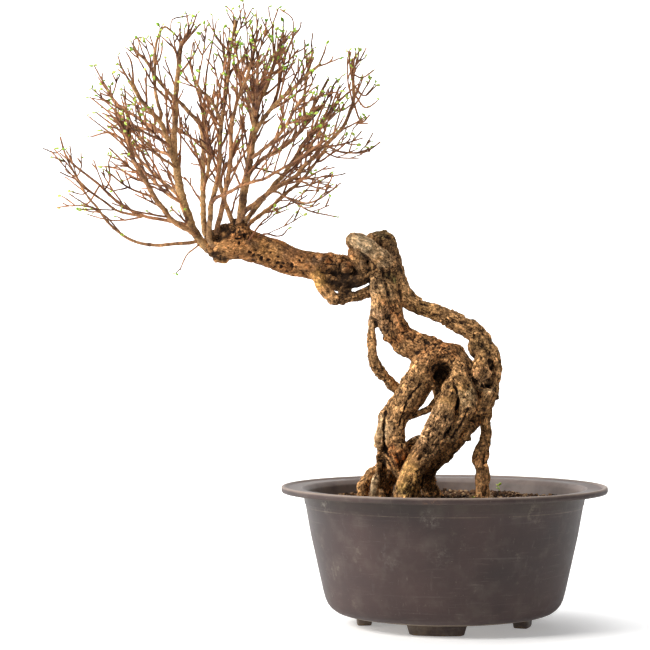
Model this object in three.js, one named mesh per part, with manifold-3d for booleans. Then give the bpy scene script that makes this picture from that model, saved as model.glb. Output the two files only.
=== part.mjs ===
// A Chinese elm bonsai in its round training pot.
// Millimetres, +Z up. In the lists below the pot's axis is x = y = 0, the floor is z = 0 and the
// front of the tree looks along -Y. The group is shifted at the end, so that its origin is the
// centre of the underside of the whole object's box.

import * as THREE from 'three';
import { mergeVertices } from 'three/addons/utils/BufferGeometryUtils.js';
import Module from 'manifold-3d';

// Pot: outer face of the wall below the rim as [radius, z], from the rim down to the base

const POT_SIDES = 36;
const RIM_RADIUS = 140;
const RIM_TOP = 119.4;
const RIM_LIP = { width: 4.5, height: 1.5, face: 5.5, round: 0.8, draft: 0.5, slope: 1 };
const RIM_INNER = 121.5;
const WALL = 3.2;
const BASE_BOTTOM = 9.1;
const BASE_THICKNESS = 4;
const BASE_EDGE = 82;
const WALL_OUTSIDE = [
  [121, 113.9], [114.7, 78], [108.7, 51], [103.6, 28], [100.6, 18.5], [93.5, 11.8],
  [BASE_EDGE, BASE_BOTTOM],
];
const FOOT = { outer: 76, inner: 62, halfAngle: 0.33, frontTurn: -0.14, count: 4, sunk: 1, arcSteps: 3 };
const DRAIN_HOLE = { radius: 7, ring: 42, count: 4, sides: 8, cut: 20 };

// Soil

const SOIL_LEVEL = 105.6;
const SOIL_MOUND = 2.5;
const SOIL_GRAIN = 0.9;
const SOIL_RINGS = [34, 70];
const SOIL_BEVEL = 1.6;
const GRAIN_WAVES = { first: [0.61, 0.23], second: [-0.19, 0.47] };

// Gaps between neighbouring pieces: pot and soil, root and soil, branch and its socket

const CLEARANCE = 0.35;
const ROOT_GAP = 0.5;
const SOCKET_GAP = 0.45;
const SOCKET_SAMPLES = 5;

// Bark: ribs along each strand and swellings on the way, with their height as a share of the radius

const RIB = { count: 3, height: 0.085, twist: 0.035 };
const RIDGE = { count: 5, height: 0.045, twist: -0.08 };
const SWELLING = { height: 0.06, pitch: 0.21 };
const BARK_STEP = 8;

// Sides of a tube as [radius above which they are used, sides]

const BARK_SIDES = [[8, 8], [5.6, 6], [0, 5]];
const LIMB_SIDES = [[2.6, 6], [1.8, 5], [1.2, 4], [0, 3]];
const RING_MARGIN = 0.15;

// Crown: the ellipsoid that holds the twigs

const CROWN_CENTRE = new THREE.Vector3(-200.5, 0, 408);
const CROWN_REACH = new THREE.Vector3(148, 112, 131);

// Limbs: distance between samples, and where the next ring is needed

const LIMB_SAMPLING = 12;
const LIMB_STEP = 17;
const LIMB_BEND = 0.25;

// Twigs and leaf buds

const TIP_SAMPLING = 20;
const TWIG_SPANS = 2;
const TWIG_SPACING = 41;
const TWIG_FIRST = 0.42;
const TWIG_LENGTH = [17, 32];
const TWIG_RADIUS = 0.85;
const TWIG_SHARE = 0.62;
const TWIG_TIP_RADIUS = 0.55;
const TWIG_SPREAD = [0.5, 0.95];
const TWIG_TURN = 2.4;
const TWIG_OUTWARD = 0.16;
const TWIG_WANDER = 0.5;
const TWIG_RISE = 0.1;
const TWIG_TRIES = 8;
const PROBE_STEP = 0.25;
const GAP_TO_OWN_BRANCH = 0.1;
const GAP_TO_OTHER_BRANCH = 1.1;
const STUB_TWIGS = 2;
const STUB_SPREAD = [0.2, 0.7];
const STUB_SHARE = 0.96;
const STUB_TIP_RADIUS = 1;
const BUD_LENGTH = [3.6, 5.2];
const BUD_RADIUS = 1.25;
const BUD_WIDEST = 0.45;
const BUD_SUNK = 0.7;
const BUD_SPACING = 17;
const BUD_PITCH = 12.75;
const BUD_TILT = 2.2;
const BUD_GAP = 0.6;
const SIDE_BUD_EVERY = 4;

// Seeds of the random draws

const SEEDS_A_LIMB = 100;
const STUB_SEEDS = 50;
const BUD_SEEDS = 7000;

// Colours, roughness

const FINISHES = {
  pot: { color: 0x584c4c, roughness: 0.62 },
  soil: { color: 0x8a6547, roughness: 0.95 },
  bark: { color: 0x96703f, roughness: 0.9 },
  twigs: { color: 0x7a4a2e, roughness: 0.8 },
};

// Trunk and roots: [x, y, z, radius] of each strand

const WOOD = {
  burl_crest: [
    [-197, -3, 330.5, 5], [-190, -2, 334, 7.5], [-183, -1, 339, 7.5], [-175.5, 0, 342.5, 7],
    [-170.5, 0, 343.5, 3.5],
  ],
  burl_front: [
    [-185.5, -6, 333, 4.5], [-180.5, -8, 337.5, 5.5], [-174.5, -9, 338.5, 6],
    [-168.5, -8, 336.5, 4.5],
  ],
  burl_back: [
    [-187, 8, 332.5, 5], [-182, 11, 336, 7], [-175, 12, 336, 7.5], [-168, 12, 333, 6],
    [-162, 9, 328.5, 4.5],
  ],
  trunk: [
    [-205, 0, 321.5, 4.5], [-201.5, 0, 323, 8.5], [-195.5, 0, 324.5, 11.5], [-186.5, 0, 327, 14],
    [-177.5, 0, 328, 14.5], [-161, 0, 323.5, 12.5], [-137.5, 0, 315, 11.5], [-124, 0, 310.5, 11.5],
    [-112.5, 0, 308.5, 12], [-104, 0, 308.5, 11], [-93, 2, 309, 11], [-81, 2, 310, 9],
    [-69, 2, 312, 7.5], [-56.5, 2, 312, 6],
  ],
  lower_limb: [
    [-112.5, 0, 301.5, 5.5], [-101.5, -2, 299, 7.5], [-93, -3, 295.5, 8], [-84.5, -4, 295, 7.5],
    [-76, -5, 297, 7], [-68, -5, 301, 7], [-60.5, -4, 305.5, 6],
  ],
  handle: [
    [-114.5, -4, 304.5, 5], [-108.5, -8, 298.5, 5], [-105, -10, 291.5, 5], [-100.5, -11, 285, 5],
    [-94.5, -11, 279.5, 4.5], [-88, -11, 279.5, 4.5], [-79.5, -10, 281.5, 4.5],
    [-70.5, -8, 284, 4.5], [-63, -4, 287.5, 4.5], [-56, 0, 293, 4.5],
  ],
  front_lobe: [
    [-83.5, -9, 328.5, 2.5], [-81.5, -10, 328.5, 6], [-77.5, -11, 328.5, 8], [-71.5, -12, 327, 8.5],
    [-63, -12, 321.5, 7.5], [-54.5, -10, 315, 8], [-48.5, -6, 310.5, 7.5], [-44, -3, 306.5, 4.5],
  ],
  rear_arch: [
    [-72, 6, 320.5, 4.5], [-66, 8, 325.5, 6.5], [-59, 10, 329.5, 7.5], [-53, 10, 331.5, 7.5],
    [-48, 10, 331, 6.5], [-45, 10, 330, 3.5],
  ],
  rear_side: [
    [-54, 10, 337, 2.5], [-51.5, 10, 334.5, 6], [-48.5, 10, 329.5, 8], [-46, 9, 321.5, 7.5],
    [-43.5, 8, 312, 7.5], [-42, 7, 305, 6],
  ],
  stub_lobe: [
    [-78.5, -4, 325.5, 4.5], [-77, -3, 321, 5.5], [-74.5, -2, 315, 5.5], [-73, -1, 308, 5.5],
  ],
  big_root: [
    [-45.5, 8, 313.5, 7.5], [-41, 6, 300.5, 7.5], [-36, 4, 288.5, 7.5], [-30, 3, 279, 7.5],
    [-20.5, 2, 273, 7], [-6, 2, 268.5, 6.5], [9.5, 2, 261.5, 7.5], [22.5, 2, 254, 7.5],
    [31, 2, 246.5, 8], [35.5, 2, 237.5, 8], [39.5, 1, 229, 7.5], [41.5, 1, 222, 6],
  ],
  outer_root: [
    [40.5, 0, 237.5, 5.5], [42.5, -1, 231, 5.5], [44.5, -2, 224, 5], [45, -2, 215.5, 4.5],
    [44, -2, 206, 4], [42, -2, 196.5, 4], [38.5, 0, 188, 4.5], [36, 1, 182.5, 4.5],
  ],
  knob: [
    [34, -6, 232.5, 5], [31.5, -8, 225, 6.5], [29.5, -8, 219, 7], [28.5, -7, 213, 6.5],
    [30.5, -4, 205, 4.5], [34.5, -1, 197.5, 4.5], [36, 0, 189.5, 4.5],
  ],
  right_leg: [
    [37, 2, 191, 4.5], [36, 2, 182.5, 4.5], [36, 1, 175.5, 4.5], [36.5, 0, 169, 4.5],
    [36, 0, 161, 4.5], [34, 0, 152.5, 5], [31.5, 0, 145, 6], [30.5, 0, 139, 6],
    [32.5, 0, 133.5, 5.5], [33, 0, 126.5, 5.5], [33, 0, 118, 5.5], [33, 0, 107, 6], [33.5, 0, 94, 5],
    [34.5, 0, 83, 3.5],
  ],
  outer_back: [
    [38, 3, 234, 6], [38.5, 4, 224, 6.5], [38.5, 5, 213.5, 6.5], [38, 5, 203, 5.5],
    [37, 5, 193, 4.5],
  ],
  middle_back: [
    [15.5, 2, 224, 7], [24, 8, 215, 7], [26.5, 10, 203, 8], [25.5, 11, 191, 8], [21.5, 11, 178.5, 8],
    [17, 11, 168.5, 7.5],
  ],
  front_strand: [
    [-61.5, -8, 311.5, 5], [-59.5, -9, 298.5, 5.5], [-58, -10, 287.5, 6.5], [-56, -10, 279, 7],
    [-55.5, -8, 268.5, 7.5], [-52, -5, 258.5, 7.5],
  ],
  main_limb: [
    [-56, 4, 315.5, 7.5], [-51.5, 3, 303, 10], [-49, 2, 289.5, 11], [-48, 1, 275.5, 11.5],
    [-45.5, 0, 263.5, 11.5], [-42, -1, 254, 11.5], [-35.5, -1, 246, 11], [-26, -2, 240, 11],
    [-15, -3, 236, 10.5], [-3.5, -4, 232.5, 11], [6.5, -5, 229.5, 11.5], [13, -7, 222.5, 10.5],
    [13, -9, 214, 9], [9.5, -11, 205.5, 7.5],
  ],
  left_leg: [
    [-7, -6, 234.5, 9.5], [-17.5, -9, 224, 11], [-23, -10, 212, 11], [-28, -10, 200, 11],
    [-35, -10, 189, 10.5], [-41, -10, 179.5, 10], [-42.5, -10, 169.5, 9], [-41.5, -10, 159, 9],
    [-40.5, -10, 150.5, 7.5], [-41, -10, 143, 5], [-41.5, -10, 137, 2.5],
  ],
  left_leg_back: [
    [-8.5, 6, 220.5, 7], [-16, 4, 206, 7.5], [-25, 2, 193, 7.5], [-32.5, 0, 181, 6],
  ],
  arch_back: [
    [-14.5, 8, 234, 8.5], [-6, 14, 222, 10.5], [-1.5, 16, 210, 11], [0, 15, 197.5, 9],
    [1.5, 13, 186.5, 7.5], [3, 11, 176, 7.5], [3, 9, 165, 7],
  ],
  front_diagonal: [
    [10.5, -10, 212, 7], [5.5, -13, 203.5, 7], [2.5, -15, 195, 7.5], [-1, -16, 185, 9],
    [-8, -17, 169, 9.5], [-14.5, -18, 157, 9.5], [-20.5, -19, 145, 10], [-26, -20, 134, 11],
    [-29, -20, 124, 11.5], [-31.5, -20, 113, 11.5], [-34.5, -20, 100, 10.5], [-37, -20, 86.5, 7],
  ],
  light_strand: [
    [12, -14, 217.5, 7.5], [15.5, -16, 207, 7.5], [18.5, -16, 199.5, 8], [19, -15, 192, 7.5],
    [16.5, -13, 182.5, 6.5], [12, -11, 173, 5.5], [8, -8, 164, 4.5], [3, -4, 157, 4.5],
  ],
  rear_diagonal: [
    [39, 5, 194.5, 4.5], [36, 8, 188.5, 5.5], [31.5, 10, 182, 7], [25, 11, 174.5, 7.5],
    [17, 11, 166, 8.5], [9.5, 11, 157, 9.5], [1.5, 11, 147.5, 9.5], [-6.5, 12, 138, 9],
    [-12, 14, 128.5, 8.5], [-11.5, 15, 119.5, 7.5], [-8.5, 15, 109, 7.5], [-5.5, 15, 96, 7],
    [-2, 15, 85, 4.5],
  ],
  thin_loop: [
    [-56, -4, 286.5, 3], [-58, -6, 280, 3], [-60.5, -7, 273, 3.5], [-62, -7, 263.5, 3.5],
    [-62.5, -6, 252.5, 4], [-62, -5, 240.5, 4], [-60.5, -3, 229, 4.5], [-57, 0, 220.5, 4.5],
    [-50.5, 4, 212, 4.5], [-43, 7, 205, 4.5], [-34, 8, 202, 4.5], [-25.5, 6, 199.5, 4.5],
  ],
  side_root: [
    [-34.5, -6, 200, 3.5], [-41.5, -8, 195, 3.5], [-47.5, -9, 187.5, 3.5], [-52, -9, 180.5, 3.5],
    [-54, -9, 172.5, 3.5], [-55, -9, 164, 3.5], [-55.5, -9, 154.5, 3.5], [-54.5, -9, 148.5, 3.5],
    [-51, -9, 142.5, 3.5], [-47, -11, 137, 3], [-41.5, -13, 131, 3], [-36, -15, 127, 3],
  ],
  left_foot_root: [
    [-54.5, -10, 150.5, 3], [-56.5, -10, 143.5, 2.5], [-56, -9, 136, 3], [-58, -8, 127.5, 3],
    [-59.5, -8, 119.5, 3.5], [-60, -8, 110, 3.5], [-60, -8, 97.5, 3.5], [-59.5, -8, 88.5, 2.5],
  ],
  bridge_root: [
    [-0.5, -9, 203.5, 3], [-4, -9, 199.5, 3], [-7.5, -8, 193, 3], [-12.5, -7, 186.5, 3],
    [-20, -7, 182, 3], [-28, -7, 179.5, 3], [-35.5, -8, 177, 3],
  ],
  back_left_root: [
    [-43.5, 5, 132.5, 4], [-51.5, 9, 135.5, 4], [-58, 12, 132, 4], [-64.5, 12, 126, 4.5],
    [-68, 12, 119, 4.5], [-70.5, 12, 109.5, 4.5], [-71.5, 12, 96.5, 4.5], [-73, 12, 87, 3],
  ],
  back_foot: [
    [-39, -5, 153.5, 5], [-38.5, 0, 141.5, 5.5], [-43, 5, 130, 6], [-49, 8, 119, 6],
    [-51.5, 8, 109, 6], [-52.5, 8, 96, 5], [-52.5, 8, 85.5, 3.5],
  ],
  cut_stub: [
    [22.5, 3, 172, 2.5], [20.5, -2, 168, 2.5], [19, -6, 164, 2.5], [17, -9, 159.5, 2],
  ],
};

// Strands whose lower end stands in the soil

const ROOTS_IN_SOIL = [
  'right_leg', 'front_diagonal', 'rear_diagonal', 'left_foot_root', 'back_left_root', 'back_foot',
];

// Limbs of the crown: [x, y, z] of each route, with the radius at its start and end

const LIMBS = [
  {
    name: 'left_foot', branch: 'branch_far_left',
    from: null, radii: [4.0, 3.4],
    route: [
      [-195.5, 0, 320.5], [-201.5, 0, 322.5], [-207.5, -0.5, 327.5], [-213.5, -1, 335.5],
      [-218, -1.5, 344.5], [-220.5, -2, 353], [-224, -2.5, 362], [-226.5, -3, 372.5],
      [-228.5, -3.5, 382], [-229.5, -4, 392.5],
    ],
  },
  {
    name: 'left_top', branch: 'branch_far_left',
    from: 'left_foot', radii: [2.8, 1.8],
    route: [
      [-229.5, -4, 391.5], [-231, -6, 402.5], [-231.5, -10, 419.5], [-230.5, -13, 432],
      [-230.5, -16.5, 444.5], [-229, -20, 457.5], [-227.5, -23.5, 470], [-226, -27, 481.5],
      [-225, -30, 491], [-222.5, -32, 497],
    ],
  },
  {
    name: 'left_fork', branch: 'branch_far_left',
    from: 'left_top', radii: [2.6, 1.5],
    route: [
      [-231, -5, 394], [-234, -10, 404.5], [-236.5, -16, 415.5], [-241.5, -24.5, 428.5],
      [-246.5, -29, 434.5], [-252.5, -35.5, 441.5], [-257.5, -40.5, 447], [-260.5, -45, 452.5],
      [-265.5, -52, 461],
    ],
  },
  {
    name: 'left_reach_high', branch: 'branch_far_left',
    from: 'left_foot', radii: [1.7, 0.8],
    route: [
      [-216, -2, 339], [-222, -1.5, 343.5], [-233, -0.5, 346.5], [-244.5, 0.5, 348.5],
      [-259, 2, 351.5], [-271.5, 3.5, 357.5], [-283.5, 5, 365.5], [-298.5, 7.5, 379.5],
      [-317, 10.5, 394], [-326, 11.5, 403], [-332, 14, 420.5],
    ],
  },
  {
    name: 'left_reach_middle', branch: 'branch_far_left',
    from: 'left_reach_high', radii: [1.2, 0.8],
    route: [
      [-257.5, 3, 351], [-271, -0.5, 353], [-282.5, -4, 356.5], [-291, -7, 363],
      [-299, -10.5, 368.5], [-310.5, -15.5, 378.5], [-316, -19.5, 387], [-321.5, -24, 398.5],
    ],
  },
  {
    name: 'left_reach_low', branch: 'branch_far_left',
    from: 'left_foot', radii: [1.7, 0.8],
    route: [
      [-210.5, -4, 330.5], [-218.5, -4, 328], [-228.5, -4, 327.5], [-248.5, -4, 326],
      [-266.5, -4, 329.5], [-278.5, -4, 336.5], [-289.5, -4, 346.5], [-298.5, -4, 359],
      [-304, -4, 365], [-312, -4, 377], [-316, -4, 385.5],
    ],
  },
  {
    name: 'left_front', branch: 'branch_far_left',
    from: 'left_foot', radii: [2.4, 1.9],
    route: [
      [-212.5, -4, 333], [-219.5, -11.5, 339], [-225.5, -16, 342], [-233.5, -22.5, 347.5],
      [-239, -28.5, 355.5], [-245, -35, 363], [-252, -44, 376.5], [-258, -51.5, 387],
      [-262, -57, 395], [-264, -61.5, 402.5], [-266, -68, 413.5],
    ],
  },
  {
    name: 'left_rear', branch: 'branch_far_left',
    from: 'left_foot', radii: [1.9, 1.2],
    route: [
      [-222.5, -3, 359], [-227, 10.5, 366.5], [-235, 24, 375], [-249.5, 42.5, 387],
      [-262, 58, 399.5], [-269, 66.5, 406.5], [-274, 72, 411],
    ],
  },
  {
    name: 'left_middle', branch: 'branch_far_left',
    from: 'left_foot', radii: [1.7, 1.0],
    route: [
      [-223.5, -3, 362.5], [-229, 0, 365], [-237, 6.5, 369.5], [-245.5, 14, 377], [-254, 23, 385.5],
      [-261.5, 31.5, 393], [-266.5, 38, 399.5],
    ],
  },
  {
    name: 'left_high_a', branch: 'branch_far_left',
    from: 'left_fork', radii: [1.7, 1.0],
    route: [
      [-237, -16, 416], [-243.5, -12, 423], [-249.5, -8.5, 426.5], [-257, -3.5, 431],
      [-267.5, 4, 438.5], [-277.5, 11, 444.5], [-285, 17, 450.5], [-289.5, 23.5, 459],
      [-296.5, 32, 470],
    ],
  },
  {
    name: 'left_high_b', branch: 'branch_far_left',
    from: 'left_high_a', radii: [1.4, 0.9],
    route: [
      [-241, -14, 422.5], [-247.5, -7, 424.5], [-254, 1, 425.5], [-265.5, 17, 429.5],
      [-276, 33, 436], [-290.5, 60, 449.5],
    ],
  },
  {
    name: 'left_high_c', branch: 'branch_far_left',
    from: 'left_fork', radii: [1.5, 0.9],
    route: [
      [-235, -12, 409.5], [-241, -31, 414], [-249, -48.5, 416.5], [-253.5, -58.5, 418.5],
      [-259.5, -72, 421.5],
    ],
  },
  {
    name: 'left_high_d', branch: 'branch_far_left',
    from: 'left_fork', radii: [1.5, 0.9],
    route: [
      [-232, -7, 400.5], [-238.5, 12, 405], [-245.5, 27, 408.5], [-258, 49.5, 414],
      [-267, 64.5, 417], [-274.5, 76, 420.5],
    ],
  },
  {
    name: 'left_high_e', branch: 'branch_far_left',
    from: 'left_foot', radii: [1.4, 0.9],
    route: [
      [-230.5, -5, 390.5], [-234.5, -9, 395.5], [-240.5, -15.5, 399], [-248, -24.5, 405.5],
      [-253.5, -33, 411.5], [-258, -40, 416],
    ],
  },
  {
    name: 'left_arch', branch: 'branch_far_left',
    from: 'left_fork', radii: [1.6, 0.8],
    route: [
      [-241.5, -28, 428], [-241.5, -26, 436.5], [-244.5, -23, 446], [-247, -19, 457.5],
      [-247.5, -15.5, 467.5], [-248, -8, 489], [-246, -1.5, 505], [-240.5, 2.5, 514.5],
      [-235, 5.5, 511], [-230.5, 8, 507],
    ],
  },
  {
    name: 'left_droop', branch: 'branch_far_left',
    from: 'left_foot', radii: [0.8, 0.5],
    route: [
      [-209, -3, 329], [-213, -4, 324.5], [-221, -6, 317.5], [-226.5, -9, 305.5], [-229, -10, 303],
    ],
  },
  {
    name: 'inner_main', branch: 'branch_left',
    from: null, radii: [2.6, 1.9],
    route: [
      [-193, 7.5, 326.5], [-200, 9.5, 329.5], [-206, 13, 336.5], [-208, 19.5, 350.5],
      [-209, 28.5, 367.5], [-209.5, 36, 381], [-210, 47.5, 399.5], [-210, 56.5, 413.5],
      [-211, 65.5, 427.5], [-210.5, 72, 437], [-211, 84, 454.5],
    ],
  },
  {
    name: 'inner_strand', branch: 'branch_left',
    from: 'inner_main', radii: [1.9, 1.2],
    route: [
      [-209.5, 34, 376], [-206.5, 31.5, 384.5], [-205, 29, 391], [-203.5, 25, 401.5],
      [-204.5, 22, 409],
    ],
  },
  {
    name: 'inner_left', branch: 'branch_left',
    from: 'inner_main', radii: [2.1, 0.9],
    route: [
      [-211, 66, 423], [-212.5, 64, 432], [-215.5, 62, 439], [-222, 60, 445], [-228.5, 57, 452.5],
      [-238.5, 53, 461], [-249.5, 47.5, 473.5], [-260.5, 40.5, 490.5], [-266.5, 37.5, 496],
      [-271.5, 34, 504.5],
    ],
  },
  {
    name: 'inner_thin', branch: 'branch_left',
    from: 'inner_main', radii: [1.0, 0.7],
    route: [
      [-210, 48, 398.5], [-213, 49.5, 403], [-218, 51.5, 408.5], [-224.5, 55, 418], [-233, 60, 429],
    ],
  },
  {
    name: 'slender_main', branch: 'branch_centre_left',
    from: null, radii: [2.5, 1.0],
    route: [
      [-189.5, -10.5, 325], [-197.5, -11, 325.5], [-201, -11, 330], [-201.5, -12, 339],
      [-200.5, -12.5, 349], [-200, -13, 359], [-197.5, -14, 368.5], [-195, -14.5, 378],
      [-193, -15.5, 388], [-192, -16.5, 397.5], [-192, -17, 407.5], [-191, -18.5, 425.5],
      [-189, -20, 439.5], [-186, -21.5, 457.5], [-183.5, -23.5, 481.5], [-182, -25, 495],
      [-178, -27, 516],
    ],
  },
  {
    name: 'slender_left', branch: 'branch_centre_left',
    from: 'slender_main', radii: [1.6, 1.0],
    route: [
      [-191.5, -20, 428.5], [-193.5, -34.5, 437.5], [-199, -50, 447.5], [-205.5, -60.5, 452.5],
      [-209.5, -70, 459],
    ],
  },
  {
    name: 'slender_fork', branch: 'branch_centre_left',
    from: 'slender_main', radii: [1.4, 0.8],
    route: [
      [-185, -23, 465.5], [-182.5, -20, 473], [-176.5, -14.5, 481], [-167.5, -6, 492.5],
    ],
  },
  {
    name: 'slender_side', branch: 'branch_centre_left',
    from: 'slender_main', radii: [1.6, 0.9],
    route: [
      [-199.5, -12, 361.5], [-194.5, -21.5, 366], [-186.5, -29, 368.5], [-172.5, -40.5, 375],
      [-161, -49, 378], [-153.5, -54, 379.5], [-145.5, -59.5, 383.5], [-134, -67.5, 389.5],
      [-125.5, -73, 394], [-117.5, -78.5, 399.5], [-103, -88, 408.5],
    ],
  },
  {
    name: 'middle_main', branch: 'branch_centre',
    from: null, radii: [2.5, 1.1],
    route: [
      [-189, -3, 324.5], [-194, -4.5, 329.5], [-195, -7, 339.5], [-192.5, -9.5, 349],
      [-190, -12.5, 359], [-188, -15.5, 368.5], [-186, -18.5, 377.5], [-183.5, -23, 391],
      [-182, -27.5, 403.5], [-181.5, -34.5, 424], [-178.5, -40, 437.5], [-175.5, -43.5, 447.5],
      [-170.5, -48, 458], [-165, -54.5, 474], [-161.5, -60, 486.5],
    ],
  },
  {
    name: 'olive_stub', branch: 'branch_stub',
    from: null, radii: [2.4, 1.7],
    route: [
      [-180.5, 11, 336.5], [-183.5, 15, 349], [-188, 19.5, 360], [-191, 23.5, 369], [-193, 27, 377],
      [-195, 30, 384.5],
    ],
  },
  {
    name: 'upright_main', branch: 'branch_upright',
    from: null, radii: [3.8, 2.5],
    route: [
      [-175.5, 0, 341], [-174.5, 0.5, 351], [-173.5, 1.5, 362.5], [-172, 2.5, 373], [-169.5, 4, 386],
      [-168, 5, 396.5], [-166.5, 6, 407], [-165, 7, 416.5], [-163, 8.5, 431.5], [-162.5, 10, 442.5],
    ],
  },
  {
    name: 'upright_a', branch: 'branch_upright',
    from: 'upright_main', radii: [2.2, 1.5],
    route: [
      [-163.5, 9, 435.5], [-161.5, 11.5, 444.5], [-158, 14.5, 454.5], [-153, 19, 465],
      [-149.5, 23.5, 477], [-146, 27, 487], [-142.5, 32, 499],
    ],
  },
  {
    name: 'upright_b', branch: 'branch_upright',
    from: 'upright_a', radii: [1.5, 1.2],
    route: [
      [-163, 9, 438], [-163.5, -5, 445.5], [-163.5, -26, 453.5],
    ],
  },
  {
    name: 'upright_c', branch: 'branch_upright',
    from: 'upright_a', radii: [1.7, 1.0],
    route: [
      [-163.5, 9, 434.5], [-161, -12, 444.5], [-159.5, -41, 461], [-158, -66, 476],
    ],
  },
  {
    name: 'upright_d', branch: 'branch_upright',
    from: 'upright_main', radii: [1.7, 1.3],
    route: [
      [-164, 8, 431], [-167, 33.5, 444], [-169.5, 46.5, 452.5], [-171, 66, 467],
    ],
  },
  {
    name: 'upright_tip', branch: 'branch_upright',
    from: 'upright_a', radii: [1.1, 0.6],
    route: [
      [-146, 27, 486], [-147, 24.5, 494], [-148, 18, 511], [-147.5, 15, 518.5], [-143, 9, 530.5],
    ],
  },
  {
    name: 'upright_rear_main', branch: 'branch_upright',
    from: 'upright_main', radii: [2.0, 1.5],
    route: [
      [-168, 3, 387.5], [-164.5, 9, 393], [-160.5, 14, 398], [-155.5, 19.5, 402.5],
      [-145, 28.5, 409.5], [-134, 38, 417.5], [-127, 45, 425], [-121.5, 50.5, 431.5],
      [-119, 56, 440],
    ],
  },
  {
    name: 'upright_rear_left', branch: 'branch_upright',
    from: 'upright_rear_main', radii: [1.5, 1.0],
    route: [
      [-119.5, 56, 438.5], [-121, 53, 448], [-120.5, 49, 459.5], [-119, 44, 471.5],
      [-117.5, 40.5, 480], [-114.5, 36, 489], [-113.5, 32, 497.5],
    ],
  },
  {
    name: 'upright_rear_right', branch: 'branch_upright',
    from: 'upright_rear_main', radii: [1.5, 1.1],
    route: [
      [-120, 56, 435.5], [-116, 55, 444.5], [-112, 54, 452], [-107.5, 52.5, 460], [-99.5, 50, 475],
    ],
  },
  {
    name: 'upright_low_fork', branch: 'branch_upright',
    from: 'upright_main', radii: [1.7, 1.2],
    route: [
      [-166.5, 6, 400], [-161.5, -4, 403.5], [-154.5, -14.5, 408], [-146.5, -26, 413.5],
      [-136, -42, 424], [-131.5, -51, 431], [-128, -58, 437], [-122.5, -68, 444],
    ],
  },
  {
    name: 'upright_slanting', branch: 'branch_upright',
    from: 'upright_main', radii: [2.0, 1.2],
    route: [
      [-164, 9, 422], [-161, 7, 427], [-156, 4, 434.5], [-149.5, -0.5, 442.5], [-141, -6, 450.5],
      [-132.5, -11, 457.5], [-124.5, -16, 464], [-117.5, -20.5, 470.5], [-106.5, -28, 478.5],
    ],
  },
  {
    name: 'upright_slanting_top', branch: 'branch_upright',
    from: 'upright_slanting', radii: [1.6, 0.9],
    route: [
      [-153.5, 3, 438], [-148, 3.5, 445.5], [-143, 5, 459.5], [-140.5, 6, 473.5], [-138, 7.5, 484.5],
      [-136, 8, 492.5], [-131, 9.5, 504], [-128.5, 10, 510],
    ],
  },
  {
    name: 'upright_twig', branch: 'branch_upright',
    from: 'upright_main', radii: [0.9, 0.7],
    route: [
      [-169, 2, 390], [-163, 6.5, 393], [-151.5, 10, 390.5], [-142, 12.5, 388.5], [-132, 14.5, 385],
      [-121.5, 16.5, 381.5], [-112, 18.5, 377.5], [-101.5, 20, 375],
    ],
  },
  {
    name: 'front_right_main', branch: 'branch_right_front',
    from: null, radii: [2.3, 1.2],
    route: [
      [-179, -9.5, 340], [-171.5, -10, 354], [-164, -10, 360], [-156.5, -10.5, 366],
      [-147, -11, 373], [-135, -11.5, 380], [-127, -11.5, 385], [-121, -12, 392.5],
      [-112.5, -12.5, 400.5], [-106.5, -12.5, 408], [-100, -13, 413], [-93, -13.5, 420],
      [-87, -14, 426.5], [-82, -14, 437.5], [-78, -14.5, 449.5], [-78.5, -15.5, 467.5],
      [-79.5, -16, 481],
    ],
  },
  {
    name: 'front_right_twig_a', branch: 'branch_right_front',
    from: 'front_right_main', radii: [1.0, 0.7],
    route: [
      [-148.5, -8, 372], [-142.5, -10.5, 371], [-137.5, -13.5, 367.5], [-128, -18.5, 364],
      [-118, -24.5, 361], [-108.5, -30.5, 363.5], [-98.5, -38, 369.5],
    ],
  },
  {
    name: 'front_right_twig_b', branch: 'branch_right_front',
    from: 'front_right_twig_a', radii: [0.9, 0.6],
    route: [
      [-138, -16, 368], [-133, -18.5, 365], [-126, -22, 360.5], [-115, -29, 354],
      [-101.5, -37, 350.5], [-93, -42, 348.5],
    ],
  },
  {
    name: 'front_right_right', branch: 'branch_right_front',
    from: 'front_right_main', radii: [1.0, 0.7],
    route: [
      [-103.5, -10, 410.5], [-98, -9.5, 409.5], [-92, -9.5, 406.5], [-81, -8.5, 405],
      [-67.5, -7.5, 406], [-55, -6, 414.5],
    ],
  },
  {
    name: 'mid_right_main', branch: 'branch_right_middle',
    from: null, radii: [2.3, 1.7],
    route: [
      [-176, 7.5, 334.5], [-170, 16.5, 349.5], [-164, 21, 357.5], [-157.5, 25.5, 366.5],
      [-152, 28.5, 373], [-145.5, 32.5, 382], [-138.5, 36, 389], [-132.5, 40, 399],
      [-127, 43, 406.5], [-123.5, 46, 414.5], [-118.5, 48, 421], [-113, 51, 428.5],
      [-103.5, 55, 438], [-97.5, 58, 446.5], [-90, 62, 457.5],
    ],
  },
  {
    name: 'mid_right_twig', branch: 'branch_right_middle',
    from: 'mid_right_main', radii: [0.9, 0.6],
    route: [
      [-123.5, 50, 413], [-118.5, 49.5, 414.5], [-112, 49, 413], [-101.5, 47.5, 409.5],
      [-92, 46.5, 405.5], [-80.5, 45, 404.5], [-72.5, 44, 404.5],
    ],
  },
  {
    name: 'rear_right_main', branch: 'branch_right_back',
    from: null, radii: [2.0, 1.2],
    route: [
      [-174, 13.5, 332], [-168.5, 26.5, 345.5], [-159, 35, 354], [-148, 43.5, 363],
      [-139, 50.5, 372.5], [-127, 58.5, 382.5], [-120, 64, 390], [-113, 69.5, 399.5],
      [-107, 74, 407.5], [-101.5, 78, 414],
    ],
  },
  {
    name: 'rear_right_twig', branch: 'branch_right_back',
    from: 'rear_right_main', radii: [1.0, 0.7],
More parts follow.
